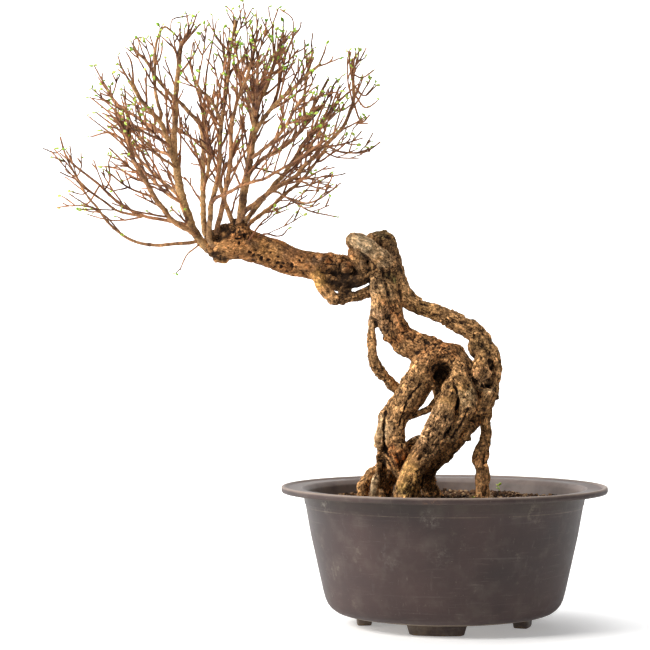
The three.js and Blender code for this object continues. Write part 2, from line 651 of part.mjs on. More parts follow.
    route: [
      [-110.5, 72, 402.5], [-106, 70.5, 404], [-98.5, 67, 409], [-90, 62.5, 414], [-80, 56, 422.5],
    ],
  },
  {
    name: 'sprout_a', branch: 'sprout_upper',
    from: null, radii: [0.9, 0.6],
    route: [
      [-167.5, -12, 330], [-163, -12.5, 336.5], [-159, -13.5, 342], [-154.5, -14.5, 347],
      [-150, -15, 350], [-146, -16, 356.5],
    ],
  },
  {
    name: 'sprout_b', branch: 'sprout_lower',
    from: null, radii: [0.9, 0.6],
    route: [
      [-161.5, -9, 327.5], [-159, -9.5, 333.5], [-152, -10.5, 335.5], [-144, -11.5, 333.5],
      [-138.5, -12.5, 334.5], [-135, -13, 338.5],
    ],
  },
];

// Twigs whose tips draw the outline of the crown. at is the share of the limb where each starts.

const TIP_TWIGS = [
  { from: 'left_reach_high', at: 0.93, route: [[-335.5, 11.5, 406.5], [-346.5, 10, 410.5]] },
  { from: 'left_reach_high', at: 0.62, route: [[-308.5, 12, 362.5], [-323, 17, 361], [-335, 22, 360]] },
  { from: 'left_reach_middle', at: 0.62, route: [[-309, -16.5, 369], [-317, -20, 370.5]] },
  { from: 'left_reach_high', at: 0.58, route: [[-288, 5.5, 382.5], [-289, 5, 397.5], [-287, 4, 402.5]] },
  { from: 'left_reach_middle', at: 0.8, route: [[-310, -22, 390], [-309.5, -26, 403.5]] },
  { from: 'left_reach_low', at: 0.97, route: [[-319.5, -6, 399], [-321, -8, 411]] },
  { from: 'left_reach_low', at: 0.99, route: [[-325, -1, 390], [-325.5, 2, 397]] },
  { from: 'left_front', at: 0.99, route: [[-278, -63.5, 423], [-292.5, -60, 434]] },
  { from: 'left_front', at: 0.97, route: [[-274, -71, 427], [-286.5, -76, 432.5]] },
  { from: 'left_front', at: 0.985, route: [[-280, -66.5, 432], [-296.5, -66, 446]] },
  { from: 'left_front', at: 0.96, route: [[-272.5, -60, 428.5], [-279.5, -54, 439]] },
  { from: 'left_front', at: 0.94, route: [[-282, -56, 418], [-298, -48, 415.5]] },
  { from: 'left_rear', at: 0.98, route: [[-292.5, 68.5, 427], [-312.5, 66, 443]] },
  { from: 'left_high_b', at: 0.97, route: [[-298, 55, 456], [-308.5, 52, 458]] },
  { from: 'left_high_a', at: 0.97, route: [[-300, 28, 476.5], [-303, 26, 482.5]] },
  { from: 'left_fork', at: 0.97, route: [[-273, -45, 473.5], [-276.5, -40, 483]] },
  { from: 'left_fork', at: 0.93, route: [[-264.5, -52, 477.5], [-268.5, -56, 485.5]] },
  { from: 'inner_left', at: 0.97, route: [[-269.5, 28.5, 506.5], [-262.5, 22, 508]] },
  { from: 'left_arch', at: 0.93, route: [[-234.5, 9.5, 521.5], [-222, 14, 525.5]] },
  { from: 'left_top', at: 0.98, route: [[-218.5, -25.5, 508], [-220, -20, 521.5]] },
  { from: 'left_top', at: 0.95, route: [[-216.5, -34, 505], [-210.5, -38, 519.5]] },
  { from: 'inner_left', at: 0.72, route: [[-247.5, 42, 492.5], [-245, 40, 508]] },
  { from: 'slender_main', at: 0.98, route: [[-180.5, -23.5, 522], [-185, -20, 527.5]] },
  { from: 'slender_fork', at: 0.97, route: [[-169.5, -2.5, 511], [-173, 2, 535]] },
  { from: 'middle_main', at: 0.97, route: [[-159.5, -49, 504.5], [-160.5, -40, 523]] },
  { from: 'upright_slanting_top', at: 0.97, route: [[-131, 13, 523.5], [-141.5, 16, 531.5]] },
  { from: 'upright_slanting_top', at: 0.95, route: [[-124, 6, 514], [-123, 2, 518.5]] },
  { from: 'upright_rear_left', at: 0.98, route: [[-114, 28.5, 504.5], [-113, 24, 512]] },
  { from: 'upright_slanting', at: 0.98, route: [[-103, -23.5, 489.5], [-101.5, -20, 495]] },
  { from: 'upright_slanting', at: 0.96, route: [[-98, -29, 480.5], [-95.5, -32, 485]] },
  { from: 'front_right_main', at: 0.97, route: [[-72.5, -10, 484.5], [-67, -4, 495.5]] },
  { from: 'front_right_main', at: 0.95, route: [[-71, -20, 468], [-61.5, -24, 473.5]] },
  { from: 'front_right_main', at: 0.9, route: [[-69, -11.5, 453.5], [-59.5, -8, 461.5]] },
  { from: 'front_right_main', at: 0.86, route: [[-67.5, -18.5, 442.5], [-58, -22, 448]] },
  { from: 'front_right_main', at: 0.82, route: [[-71, -22.5, 430], [-64.5, -30, 435.5]] },
  { from: 'rear_right_twig', at: 0.97, route: [[-77, 50.5, 431.5], [-69, 44, 438]] },
  { from: 'mid_right_main', at: 0.98, route: [[-81, 55.5, 464], [-73, 50, 470.5]] },
  { from: 'mid_right_main', at: 0.93, route: [[-86.5, 62.5, 448.5], [-78.5, 66, 454.5]] },
  { from: 'upright_twig', at: 0.8, route: [[-105, 13, 386.5], [-97, 8, 385.5]] },
  { from: 'front_right_twig_a', at: 0.97, route: [[-95, -39.5, 372], [-92.5, -42, 376]] },
  { from: 'slender_left', at: 0.95, route: [[-204.5, -54, 483], [-202, -40, 508.5]] },
  { from: 'slender_left', at: 0.93, route: [[-214, -64.5, 476], [-212, -62, 493]] },
  { from: 'inner_main', at: 0.97, route: [[-208, 71, 483.5], [-202, 60.5, 510.5], [-198.5, 50, 525]] },
  { from: 'inner_main', at: 0.95, route: [[-218, 79, 470], [-223.5, 78, 489.5]] },
  { from: 'middle_main', at: 0.78, route: [[-165.5, -42, 472], [-155.5, -38, 494.5], [-152, -34, 512]] },
  { from: 'upright_c', at: 0.96, route: [[-161, -57.5, 493.5], [-165, -52, 507.5]] },
  { from: 'upright_b', at: 0.95, route: [[-166.5, -18, 469.5], [-169, -12, 491]] },
  { from: 'upright_low_fork', at: 0.96, route: [[-115.5, -61.5, 454.5], [-110, -58, 467]] },
  { from: 'left_high_c', at: 0.96, route: [[-271, -68, 426], [-279, -66, 434.5]] },
  { from: 'left_high_d', at: 0.96, route: [[-284.5, 71.5, 424.5], [-294.5, 70, 433.5]] },
  { from: 'slender_side', at: 0.97, route: [[-94, -82, 417], [-87.5, -78, 428]] },
];

// Solids

const wasm = await Module();
wasm.setup();

function solidOf(positions, triangles) {
  return new wasm.Manifold(new wasm.Mesh({
    numProp: 3,
    vertProperties: new Float32Array(positions),
    triVerts: new Uint32Array(triangles),
  }));
}

function solidOfGeometry(geometry) {
  const bare = geometry.clone();
  bare.deleteAttribute('normal');
  bare.deleteAttribute('uv');
  const merged = mergeVertices(bare, 1e-4);
  return solidOf(merged.attributes.position.array, merged.index.array);
}

function joined(solids) {
  return solids.reduce((all, one) => all.add(one));
}

// The largest closed surface of a solid, without sealed hollows and loose scraps

function outerShell(solid) {
  const { vertProperties: p, triVerts } = solid.getMesh();
  const leader = Array.from({ length: p.length / 3 }, (_, i) => i);
  const find = (i) => {
    let root = i;
    while (leader[root] !== root) {
      leader[root] = leader[leader[root]];
      root = leader[root];
    }
    return root;
  };
  for (let i = 0; i < triVerts.length; i += 3) {
    leader[find(triVerts[i + 1])] = find(triVerts[i]);
    leader[find(triVerts[i + 2])] = find(triVerts[i]);
  }
  const shells = new Map();
  const corners = [new THREE.Vector3(), new THREE.Vector3(), new THREE.Vector3()];
  for (let i = 0; i < triVerts.length; i += 3) {
    const triangle = Array.from(triVerts.slice(i, i + 3));
    const shell = shells.get(find(triangle[0])) ?? { volume: 0, triangles: [] };
    triangle.forEach((v, k) => corners[k].fromArray(p, v * 3));
    shell.volume += corners[0].dot(corners[1].clone().cross(corners[2])) / 6;
    shell.triangles.push(...triangle);
    shells.set(find(triangle[0]), shell);
  }
  const largest = [...shells.values()].reduce((a, b) => (b.volume > a.volume ? b : a));
  return solidOf(p, largest.triangles);
}

function geometryOfSolid(solid) {
  const { vertProperties, triVerts } = solid.getMesh();
  const geometry = new THREE.BufferGeometry();
  geometry.setAttribute('position', new THREE.Float32BufferAttribute(vertProperties, 3));
  geometry.setIndex(Array.from(triVerts));
  geometry.computeVertexNormals();
  return geometry;
}

// The same random draws on every run

function seeded(seed) {
  let state = Math.imul(seed + 1, 0x9e3779b1) | 0;
  return () => {
    state = (state + 0x6d2b79f5) | 0;
    let t = Math.imul(state ^ (state >>> 15), 1 | state);
    t = (t + Math.imul(t ^ (t >>> 7), 61 | t)) ^ t;
    return ((t ^ (t >>> 14)) >>> 0) / 4294967296;
  };
}

function between([low, high], draw) {
  return low + (high - low) * draw;
}

// A turned solid from an outline of [radius, z] that starts and ends on the axis

function turned(outline, sides) {
  const points = outline.map(([radius, z]) => new THREE.Vector2(radius, z));
  return new THREE.LatheGeometry(points, sides).rotateX(Math.PI / 2);
}

// Smooth curve through hand-placed points, as a list of { point, radius }

function smooth(points, radii, stepFor) {
  const curve = new THREE.CatmullRomCurve3(points, false, 'centripetal');
  const spans = points.length - 1;
  const samples = [];
  for (let i = 0; i < spans; i += 1) {
    const steps = Math.max(1, Math.round(points[i].distanceTo(points[i + 1]) / stepFor(radii[i])));
    for (let j = 0; j < steps; j += 1) {
      const t = j / steps;
      const radius = radii[i] + (radii[i + 1] - radii[i]) * t;
      samples.push({ point: curve.getPoint((i + t) / spans), radius });
    }
  }
  samples.push({ point: points[spans].clone(), radius: radii[spans] });
  return samples;
}

// Leaves out the samples that a nearly straight stretch doesn't need

function thinned(samples) {
  const kept = [samples[0]];
  for (let i = 1; i < samples.length - 1; i += 1) {
    const previous = kept[kept.length - 1].point;
    const here = samples[i].point;
    const arriving = here.clone().sub(previous);
    const leaving = samples[i + 1].point.clone().sub(here);
    if (arriving.length() > LIMB_STEP || arriving.angleTo(leaving) > LIMB_BEND) {
      kept.push(samples[i]);
    }
  }
  return [...kept, samples[samples.length - 1]];
}

function tangentsOf(samples) {
  return samples.map((sample, i) => {
    const before = samples[Math.max(i - 1, 0)].point;
    const after = samples[Math.min(i + 1, samples.length - 1)].point;
    return after.clone().sub(before).normalize();
  });
}

function sideways(direction) {
  const up = Math.abs(direction.z) < 0.9 ? new THREE.Vector3(0, 0, 1) : new THREE.Vector3(1, 0, 0);
  return up.cross(direction).normalize();
}

// A closed tube along the samples. relief(angle, distance) scales its radius and grow widens it.
// A ring that would cross the ring before it is left out, so that a tight bend stays a sound
// solid. A pointed tube ends in one vertex, any other in a flat cut.

function tube(samples, sides, { relief = () => 1, grow = 0, pointed = false } = {}) {
  const tangents = tangentsOf(samples);
  const bodyEnd = pointed ? samples.length - 2 : samples.length - 1;
  const positions = [];
  const triangles = [];
  let across = sideways(tangents[0]);
  let distance = 0;
  let rings = 0;
  let last = null;
  for (let i = 0; i <= bodyEnd; i += 1) {
    const { point, radius } = samples[i];
    const tangent = tangents[i];
    distance += i > 0 ? point.distanceTo(samples[i - 1].point) : 0;
    across = across.clone().addScaledVector(tangent, -across.dot(tangent)).normalize();
    const other = tangent.clone().cross(across);
    const ring = Array.from({ length: sides }, (_, j) => {
      const angle = (2 * Math.PI * j) / sides;
      const reach = radius * relief(angle, distance) + grow;
      return point.clone()
        .addScaledVector(across, Math.cos(angle) * reach)
        .addScaledVector(other, Math.sin(angle) * reach);
    });
    const sound = !last
      || (ring.every((v) => v.clone().sub(last.point).dot(last.tangent) > RING_MARGIN)
        && last.ring.every((v) => v.clone().sub(point).dot(tangent) < -RING_MARGIN));
    if (sound) {
      ring.forEach((v) => positions.push(v.x, v.y, v.z));
      last = { point, tangent, ring };
      rings += 1;
    }
  }
  for (let r = 0; r < rings - 1; r += 1) {
    for (let j = 0; j < sides; j += 1) {
      const a = r * sides + j;
      const b = r * sides + ((j + 1) % sides);
      triangles.push(a, b, b + sides, a, b + sides, a + sides);
    }
  }
  const start = samples[0].point.clone().addScaledVector(tangents[0], -grow);
  const end = pointed
    ? samples[samples.length - 1].point
    : last.point.clone().addScaledVector(last.tangent, grow);
  const startIndex = rings * sides;
  const top = (rings - 1) * sides;
  positions.push(start.x, start.y, start.z, end.x, end.y, end.z);
  for (let j = 0; j < sides; j += 1) {
    const k = (j + 1) % sides;
    triangles.push(startIndex, k, j, startIndex + 1, top + j, top + k);
  }
  return solidOf(positions, triangles);
}

// Pot

function potWall() {
  const plate = RIM_TOP - RIM_LIP.height;
  const lipInner = RIM_RADIUS - RIM_LIP.width;
  const floor = BASE_BOTTOM + BASE_THICKNESS;
  return turned([
    [0, BASE_BOTTOM],
    ...WALL_OUTSIDE.slice().reverse(),
    [RIM_RADIUS - RIM_LIP.draft, RIM_TOP - RIM_LIP.face],
    [RIM_RADIUS, RIM_TOP - RIM_LIP.round],
    [RIM_RADIUS - RIM_LIP.round, RIM_TOP],
    [lipInner + RIM_LIP.slope, RIM_TOP],
    [lipInner, plate],
    [RIM_INNER, plate],
    ...wallInside().reverse(),
    [0, floor],
  ], POT_SIDES);
}

// Inner face of the wall as [radius, z], from the floor of the pot up to the rim

function wallInside() {
  const floor = BASE_BOTTOM + BASE_THICKNESS;
  return [
    [BASE_EDGE, floor],
    ...WALL_OUTSIDE.slice(1, -3).reverse().map(([radius, z]) => [radius - WALL, z]),
    [RIM_INNER - WALL, RIM_TOP - RIM_LIP.face],
  ];
}

function foot() {
  const shape = new THREE.Shape();
  shape.absarc(0, 0, FOOT.outer, -FOOT.halfAngle, FOOT.halfAngle, false);
  shape.absarc(0, 0, FOOT.inner, FOOT.halfAngle, -FOOT.halfAngle, true);
  shape.closePath();
  const depth = BASE_BOTTOM + FOOT.sunk;
  return new THREE.ExtrudeGeometry(shape, { depth, bevelEnabled: false, curveSegments: FOOT.arcSteps });
}

function potSolid() {
  const front = -Math.PI / 2 + FOOT.frontTurn;
  const feet = Array.from({ length: FOOT.count }, (_, i) => {
    return solidOfGeometry(foot().rotateZ(front + (i * 2 * Math.PI) / FOOT.count));
  });
  const holes = Array.from({ length: DRAIN_HOLE.count }, (_, i) => {
    const angle = (i * 2 * Math.PI) / DRAIN_HOLE.count;
    const { radius, ring, sides, cut } = DRAIN_HOLE;
    const hole = new THREE.CylinderGeometry(radius, radius, cut, sides).rotateX(Math.PI / 2);
    hole.translate(ring * Math.cos(angle), ring * Math.sin(angle), BASE_BOTTOM);
    return solidOfGeometry(hole);
  });
  return joined([solidOfGeometry(potWall()), ...feet]).subtract(joined(holes));
}

// Soil: fills the pot, with a mounded, grainy top

function grainAt(x, y) {
  const { first, second } = GRAIN_WAVES;
  return Math.sin(x * first[0] + y * first[1]) * Math.cos(x * second[0] + y * second[1]);
}

function soilSolid() {
  const body = wallInside().filter(([, z]) => z < SOIL_LEVEL).map(([radius, z]) => {
    return [radius - CLEARANCE, z];
  });
  body[0][1] += CLEARANCE;
  const rim = WALL_OUTSIDE[0][0] - WALL - CLEARANCE - SOIL_BEVEL;
  const outline = [[0, body[0][1]], ...body, [rim, SOIL_LEVEL]];
  SOIL_RINGS.slice().reverse().forEach((radius) => outline.push([radius, SOIL_LEVEL]));
  outline.push([0, SOIL_LEVEL]);
  const geometry = turned(outline, POT_SIDES);
  const place = geometry.attributes.position;
  for (let i = 0; i < place.count; i += 1) {
    const x = place.getX(i);
    const y = place.getY(i);
    const radius = Math.hypot(x, y);
    if (place.getZ(i) > SOIL_LEVEL - SOIL_GRAIN && radius < rim - SOIL_BEVEL) {
      const mound = SOIL_MOUND * (1 - (radius / rim) ** 2);
      place.setZ(i, SOIL_LEVEL + mound + SOIL_GRAIN * grainAt(x, y));
    }
  }
  return solidOfGeometry(geometry);
}

// Trunk and roots: ribbed, knobbly tubes that are grown together

function barkRelief(phase) {
  return (angle, distance) => 1
    + RIB.height * Math.sin(RIB.count * angle + RIB.twist * distance + phase)
    + RIDGE.height * Math.sin(RIDGE.count * angle + RIDGE.twist * distance + 2.1 * phase)
    + SWELLING.height * Math.sin(SWELLING.pitch * distance + 1.7 * phase);
}

function woodTube(name, grow = 0) {
  const phase = Object.keys(WOOD).indexOf(name);
  const points = WOOD[name].map(([x, y, z]) => new THREE.Vector3(x, y, z));
  const radii = WOOD[name].map(([, , , radius]) => radius);
  const thickest = Math.max(...radii);
  const samples = smooth(points, radii, (radius) => BARK_STEP + radius);
  return tube(samples, sidesFor(BARK_SIDES, thickest), { relief: barkRelief(phase), grow });
}

function sidesFor(table, radius) {
  return table.find(([least]) => radius > least)[1];
}

function trunkAndRoots(sockets) {
  return joined(Object.keys(WOOD).map((name) => woodTube(name))).subtract(joined(sockets));
}

function rootHoles() {
  return joined(ROOTS_IN_SOIL.map((name) => woodTube(name, ROOT_GAP)));
}

// Limbs: a side limb starts on the axis of the limb that it grows from

function limbCurves() {
  const curves = new Map();
  LIMBS.forEach(({ name, from, radii, route }) => {
    const points = route.map(([x, y, z]) => new THREE.Vector3(x, y, z));
    if (from) {
      const parent = curves.get(from);
      points[0] = nearestSample(parent, points[0]).point.clone();
    }
    const lengths = [0];
    points.slice(1).forEach((p, i) => lengths.push(lengths[i] + p.distanceTo(points[i])));
    const total = lengths[lengths.length - 1];
    const taper = lengths.map((length) => radii[0] + ((radii[1] - radii[0]) * length) / total);
    curves.set(name, thinned(smooth(points, taper, () => LIMB_SAMPLING)));
  });
  return curves;
}

function nearestSample(samples, target) {
  let best = { point: samples[0].point, distance: Infinity };
  for (let i = 0; i < samples.length - 1; i += 1) {
    const line = new THREE.Line3(samples[i].point, samples[i + 1].point);
    const point = line.closestPointToPoint(target, true, new THREE.Vector3());
    const distance = point.distanceTo(target);
    if (distance < best.distance) {
      best = { point, distance };
    }
  }
  return best;
}

// The point, radius and direction at a share of a curve's length

function along(samples, share) {
  const lengths = [0];
  for (let i = 1; i < samples.length; i += 1) {
    lengths.push(lengths[i - 1] + samples[i].point.distanceTo(samples[i - 1].point));
  }
  const target = share * lengths[lengths.length - 1];
  const i = Math.max(1, lengths.findIndex((length) => length >= target));
  const t = (target - lengths[i - 1]) / (lengths[i] - lengths[i - 1]);
  return {
    point: samples[i - 1].point.clone().lerp(samples[i].point, t),
    radius: samples[i - 1].radius + (samples[i].radius - samples[i - 1].radius) * t,
    direction: samples[i].point.clone().sub(samples[i - 1].point).normalize(),
    length: lengths[lengths.length - 1],
  };
}

// What is taken by limbs and twigs, as short straight pieces

const taken = [];

function take(samples, branch, owner) {
  for (let i = 0; i < samples.length - 1; i += 1) {
    const line = new THREE.Line3(samples[i].point, samples[i + 1].point);
    const radius = Math.max(samples[i].radius, samples[i + 1].radius);
    taken.push({ line, radius, branch, owner });
  }
}

const scratch = new THREE.Vector3();

function isClear(samples, branch, owner) {
  const probes = [];
  for (let i = 0; i < samples.length - 1; i += 1) {
    for (let t = 0; t < 1; t += PROBE_STEP) {
      probes.push({ point: samples[i].point.clone().lerp(samples[i + 1].point, t), far: i > 0 });
    }
  }
  probes.push({ point: samples[samples.length - 1].point, far: true });
  return taken.every(({ line, radius, branch: other, owner: source }) => {
    const own = other === branch;
    if (source === owner) {
      return true;
    }
    const apart = radius + TWIG_RADIUS + (own ? GAP_TO_OWN_BRANCH : GAP_TO_OTHER_BRANCH);
    return probes.every(({ point, far }) => {
      if (own && !far) {
        return true;
      }
      return line.closestPointToPoint(point, true, scratch).distanceTo(point) > apart;
    });
  });
}

function insideCrown(point) {
  const offset = point.clone().sub(CROWN_CENTRE).divide(CROWN_REACH);
  return offset.length() < 1;
}

// A twig drawn by the rule: it leaves its limb sideways, then bends outwards and up

function drawTwig(start, thickness, direction, spread, roll, random) {
  const side = sideways(direction);
  const other = direction.clone().cross(side);
  const heading = direction.clone().multiplyScalar(Math.cos(spread))
    .addScaledVector(side, Math.sin(spread) * Math.cos(roll))
    .addScaledVector(other, Math.sin(spread) * Math.sin(roll));
  const length = between(TWIG_LENGTH, random());
  const outward = start.clone().sub(CROWN_CENTRE).normalize();
  const samples = [{ point: start.clone(), radius: thickness }];
  for (let i = 0; i < TWIG_SPANS; i += 1) {
    const jitter = new THREE.Vector3(random() - 0.5, random() - 0.5, random() - 0.5);
    heading.addScaledVector(outward, TWIG_OUTWARD).addScaledVector(jitter, TWIG_WANDER).normalize();
    heading.z += TWIG_RISE;
    heading.normalize();
    samples.push({
      point: samples[i].point.clone().addScaledVector(heading, length / TWIG_SPANS),
      radius: thickness + ((TWIG_TIP_RADIUS - thickness) * (i + 1)) / TWIG_SPANS,
    });
  }
  return samples;
}

// A twig is thinner than what it grows from

function twigThickness(limbRadius) {
  return Math.min(TWIG_RADIUS, limbRadius * TWIG_SHARE);
}

// A leaf bud at the tip: the twig swells and ends in a point

function withTipBud(samples, random) {
  const tip = samples[samples.length - 1];
  const heading = tip.point.clone().sub(samples[samples.length - 2].point).normalize();
  const size = between(BUD_LENGTH, random());
  return [
    ...samples,
    { point: tip.point.clone().addScaledVector(heading, size * BUD_WIDEST), radius: BUD_RADIUS },
    { point: tip.point.clone().addScaledVector(heading, size), radius: 0 },
  ];
}

function growTwig({ curve, share, spread, turn, seed, branch, owner }) {
  const { point, radius, direction } = along(curve, share);
  const thickness = twigThickness(radius);
  for (let attempt = 0; attempt < TWIG_TRIES; attempt += 1) {
    const random = seeded(seed * TWIG_TRIES + attempt);
    const roll = turn + (random() - 0.5) * (1 + attempt);
    const angle = between(spread, random());
    const budded = withTipBud(drawTwig(point, thickness, direction, angle, roll, random), random);
    if (insideCrown(budded[budded.length - 1].point) && isClear(budded, branch, owner)) {
      return budded;
    }
  }
  return null;
}

// Every twig: the hand-placed ones that draw the crown's outline, then those drawn by the rule

function twigList(curves) {
  const twigs = [];
  TIP_TWIGS.forEach(({ from, at, route }) => {
    const { branch } = LIMBS.find((limb) => limb.name === from);
    const { point: start, radius } = along(curves.get(from), at);
    const thickness = twigThickness(radius);
    const points = [start, ...route.map(([x, y, z]) => new THREE.Vector3(x, y, z))];
    const taper = points.map((p, i) => {
      return thickness + ((TWIG_TIP_RADIUS - thickness) * i) / (points.length - 1);
    });
    const samples = withTipBud(smooth(points, taper, () => TIP_SAMPLING), seeded(twigs.length));
    twigs.push({ samples, branch });
    take(samples, branch, from);
  });
  LIMBS.forEach(({ name, branch, radii }, limbIndex) => {
    const curve = curves.get(name);
    const { length } = along(curve, 1);
    const count = Math.floor((length * (1 - TWIG_FIRST)) / TWIG_SPACING);
    const isStub = radii[1] > STUB_TIP_RADIUS;
    const source = { curve, branch, owner: name };
    const grown = [];
    for (let i = 0; i < count; i += 1) {
      const share = TWIG_FIRST + ((i + 0.5) * TWIG_SPACING) / length;
      const seed = limbIndex * SEEDS_A_LIMB + i;
      grown.push(growTwig({ ...source, share, spread: TWIG_SPREAD, turn: i * TWIG_TURN, seed }));
    }
    for (let i = 0; isStub && i < STUB_TWIGS; i += 1) {
      const seed = limbIndex * SEEDS_A_LIMB + STUB_SEEDS + i;
      const turn = i * TWIG_TURN + limbIndex;
      grown.push(growTwig({ ...source, share: STUB_SHARE, spread: STUB_SPREAD, turn, seed }));
    }
    grown.filter((samples) => samples).forEach((samples) => {
      twigs.push({ samples, branch });
      take(samples, branch, name);
    });
  });
  return twigs;
}

// A leaf bud: a three-sided spindle that stands off its twig

function bud(start, heading, length) {
  const spindle = new THREE.LatheGeometry([
    new THREE.Vector2(0, -BUD_SUNK),
    new THREE.Vector2(BUD_RADIUS, length * BUD_WIDEST),
    new THREE.Vector2(0, length),
  ], 3);
  const turn = new THREE.Quaternion().setFromUnitVectors(new THREE.Vector3(0, 1, 0), heading);
  spindle.applyQuaternion(turn);
  spindle.translate(start.x, start.y, start.z);
  return spindle;
}

function budsOn(samples, branch, seed) {
  const random = seeded(BUD_SEEDS + seed);
  const buds = [];
  const { length } = along(samples, 1);
  const count = seed % SIDE_BUD_EVERY === 0 ? Math.floor(length / BUD_SPACING) : 0;
  for (let i = 1; i <= count; i += 1) {
    const { point, direction } = along(samples, 1 - (i * BUD_PITCH) / length);
    const tilt = new THREE.Vector3(random() - 0.5, random() - 0.5, random() - 0.5);
    const heading = direction.clone().addScaledVector(tilt, BUD_TILT).normalize();
    const size = between(BUD_LENGTH, random());
    const reach = [0.5, 1].map((share) => point.clone().addScaledVector(heading, size * share));
    const outside = taken.every(({ line, radius, branch: other }) => other === branch
      || reach.every((p) => {
        const gap = line.closestPointToPoint(p, true, scratch).distanceTo(p);
        return gap > radius + BUD_RADIUS + BUD_GAP;
      }));
    if (outside) {
      buds.push(solidOfGeometry(bud(point, heading, size)));
      taken.push({ line: new THREE.Line3(point, reach[1]), radius: BUD_RADIUS, branch });
    }
  }
  return buds;
}

// The whole object

const group = new THREE.Group();

function place(name, solid, finish) {
  const material = new THREE.MeshStandardMaterial({ ...FINISHES[finish], metalness: 0 });
  const mesh = new THREE.Mesh(geometryOfSolid(solid), material);
  mesh.name = name;
  group.add(mesh);
}

const curves = limbCurves();
LIMBS.forEach(({ name, branch }) => take(curves.get(name), branch, name));
const twigs = twigList(curves);
const branchNames = [...new Set(LIMBS.map(({ branch }) => branch))];
const branches = branchNames.map((branch) => {
  const limbs = LIMBS.filter((limb) => limb.branch === branch).map(({ name, radii }) => {
    return tube(curves.get(name), sidesFor(LIMB_SIDES, radii[0]));
  });
  const own = twigs.filter((twig) => twig.branch === branch);
  const shoots = own.map(({ samples }) => tube(samples, 3, { pointed: true }));
  const buds = own.flatMap(({ samples }, i) => budsOn(samples, branch, i));
  return { name: branch, solid: joined([...limbs, ...shoots, ...buds]) };
});
const sockets = LIMBS.filter(({ from }) => !from).map(({ name, radii }) => {
  const start = curves.get(name).slice(0, SOCKET_SAMPLES);
  return tube(start, sidesFor(LIMB_SIDES, radii[0]), { grow: SOCKET_GAP });
});

place('pot', potSolid(), 'pot');
place('soil', soilSolid().subtract(rootHoles()), 'soil');
place('trunk_and_roots', outerShell(trunkAndRoots(sockets)), 'bark');
branches.forEach(({ name, solid }) => place(name, outerShell(solid), 'twigs'));

const box = new THREE.Box3().setFromObject(group);
const middle = box.getCenter(new THREE.Vector3());
group.position.set(-middle.x, -middle.y, -box.min.z);
group.updateMatrixWorld(true);

export default group;
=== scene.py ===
# A Chinese elm bonsai in its round training pot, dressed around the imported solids.
# The lists are in millimetres from the pot's axis on the floor, with the front along -Y.

import math

import bpy
import numpy as np
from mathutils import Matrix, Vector
from mathutils.kdtree import KDTree


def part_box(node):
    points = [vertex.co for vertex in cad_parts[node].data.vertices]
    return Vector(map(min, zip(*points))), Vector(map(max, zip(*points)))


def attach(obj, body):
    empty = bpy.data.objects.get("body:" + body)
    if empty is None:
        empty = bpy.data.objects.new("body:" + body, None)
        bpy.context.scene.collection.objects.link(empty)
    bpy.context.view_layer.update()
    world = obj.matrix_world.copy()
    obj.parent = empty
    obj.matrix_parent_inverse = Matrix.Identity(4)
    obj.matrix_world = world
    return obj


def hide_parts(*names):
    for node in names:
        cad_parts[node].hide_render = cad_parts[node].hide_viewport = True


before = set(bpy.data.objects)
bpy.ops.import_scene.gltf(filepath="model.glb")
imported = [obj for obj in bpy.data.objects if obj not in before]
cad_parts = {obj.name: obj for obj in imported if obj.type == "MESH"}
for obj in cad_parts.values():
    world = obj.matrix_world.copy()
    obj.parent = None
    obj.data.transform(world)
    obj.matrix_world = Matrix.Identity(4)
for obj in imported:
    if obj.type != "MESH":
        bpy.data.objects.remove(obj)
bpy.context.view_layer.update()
POT_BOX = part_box("pot")
MM = 0.001
AXIS = np.array([*((POT_BOX[0] + POT_BOX[1]) / 2).xy, 0])

# Camera: level, and a little to the left of the pot's axis
CAMERA_OFFSET = -0.1024
CAMERA_DISTANCE = 1.876
CAMERA_HEIGHT = 0.2575
CAMERA_LENS = 120.74

# Pot, as [radius, height] of its outline
RIM_RADIUS = 140
RIM_TOP = 119.4
RIM_PLATE = 117.9
WALL_OUTSIDE = [
    (121, 113.9), (114.7, 78), (108.7, 51), (103.6, 28), (100.6, 18.5), (93.5, 11.8), (82, 9.1),
]
WALL = 3.2
POT_FLOOR = 13.1
BASE_BOTTOM = 9.1
POT_STEPS = 180
# How far corners are eased: those of the rim and wall, and those near the floor
CORNER_REACH = 0.9
LOW_CORNER_REACH = 5.5
LOW_CORNERS_BELOW = 30
FOOT_OUTER = 76
FOOT_INNER = 62
FOOT_HALF_ANGLE = 0.33
FOOT_TURN = -0.14
FOOT_COUNT = 4
DRAIN_COUNT = 4
DRAIN_RING = 42
DRAIN_RADIUS = 7
# Height in millimetres that the colour ramps of the pot cover
RAMP_HEIGHT = 125

# Stains on the pot: middle, reach, 8-bit screen colour
STAINS = [
    ((-17, -139, 116.6), 9, (150, 108, 76)), ((-18, -118, 100.4), 10, (138, 130, 120)),
    ((-102, -64, 108.7), 10, (150, 144, 128)), ((67, -99, 104.3), 9, (130, 122, 104)),
    ((-10, -112, 70), 12, (108, 100, 92)), ((-52, -104, 66), 14, (104, 96, 90)),
]

# Soil
SOIL_LEVEL = 105.6
SOIL_MOUND = 2.5
SOIL_RADIUS = 116
SOIL_RINGS = 44
SOIL_STEPS = 110
# Side of the soil inside the pot, as [radius, height]
SOIL_SIDE = [(115.6, 100), (111, 78), (105, 51), (99.9, 28), (96.9, 18.5), (82, POT_FLOOR + 0.5)]
GRAIN_COUNT = 3800
GRAIN_SIZE = (1.1, 2.9)
# Tone of the soil between the grains
BED_TONE = 0.15
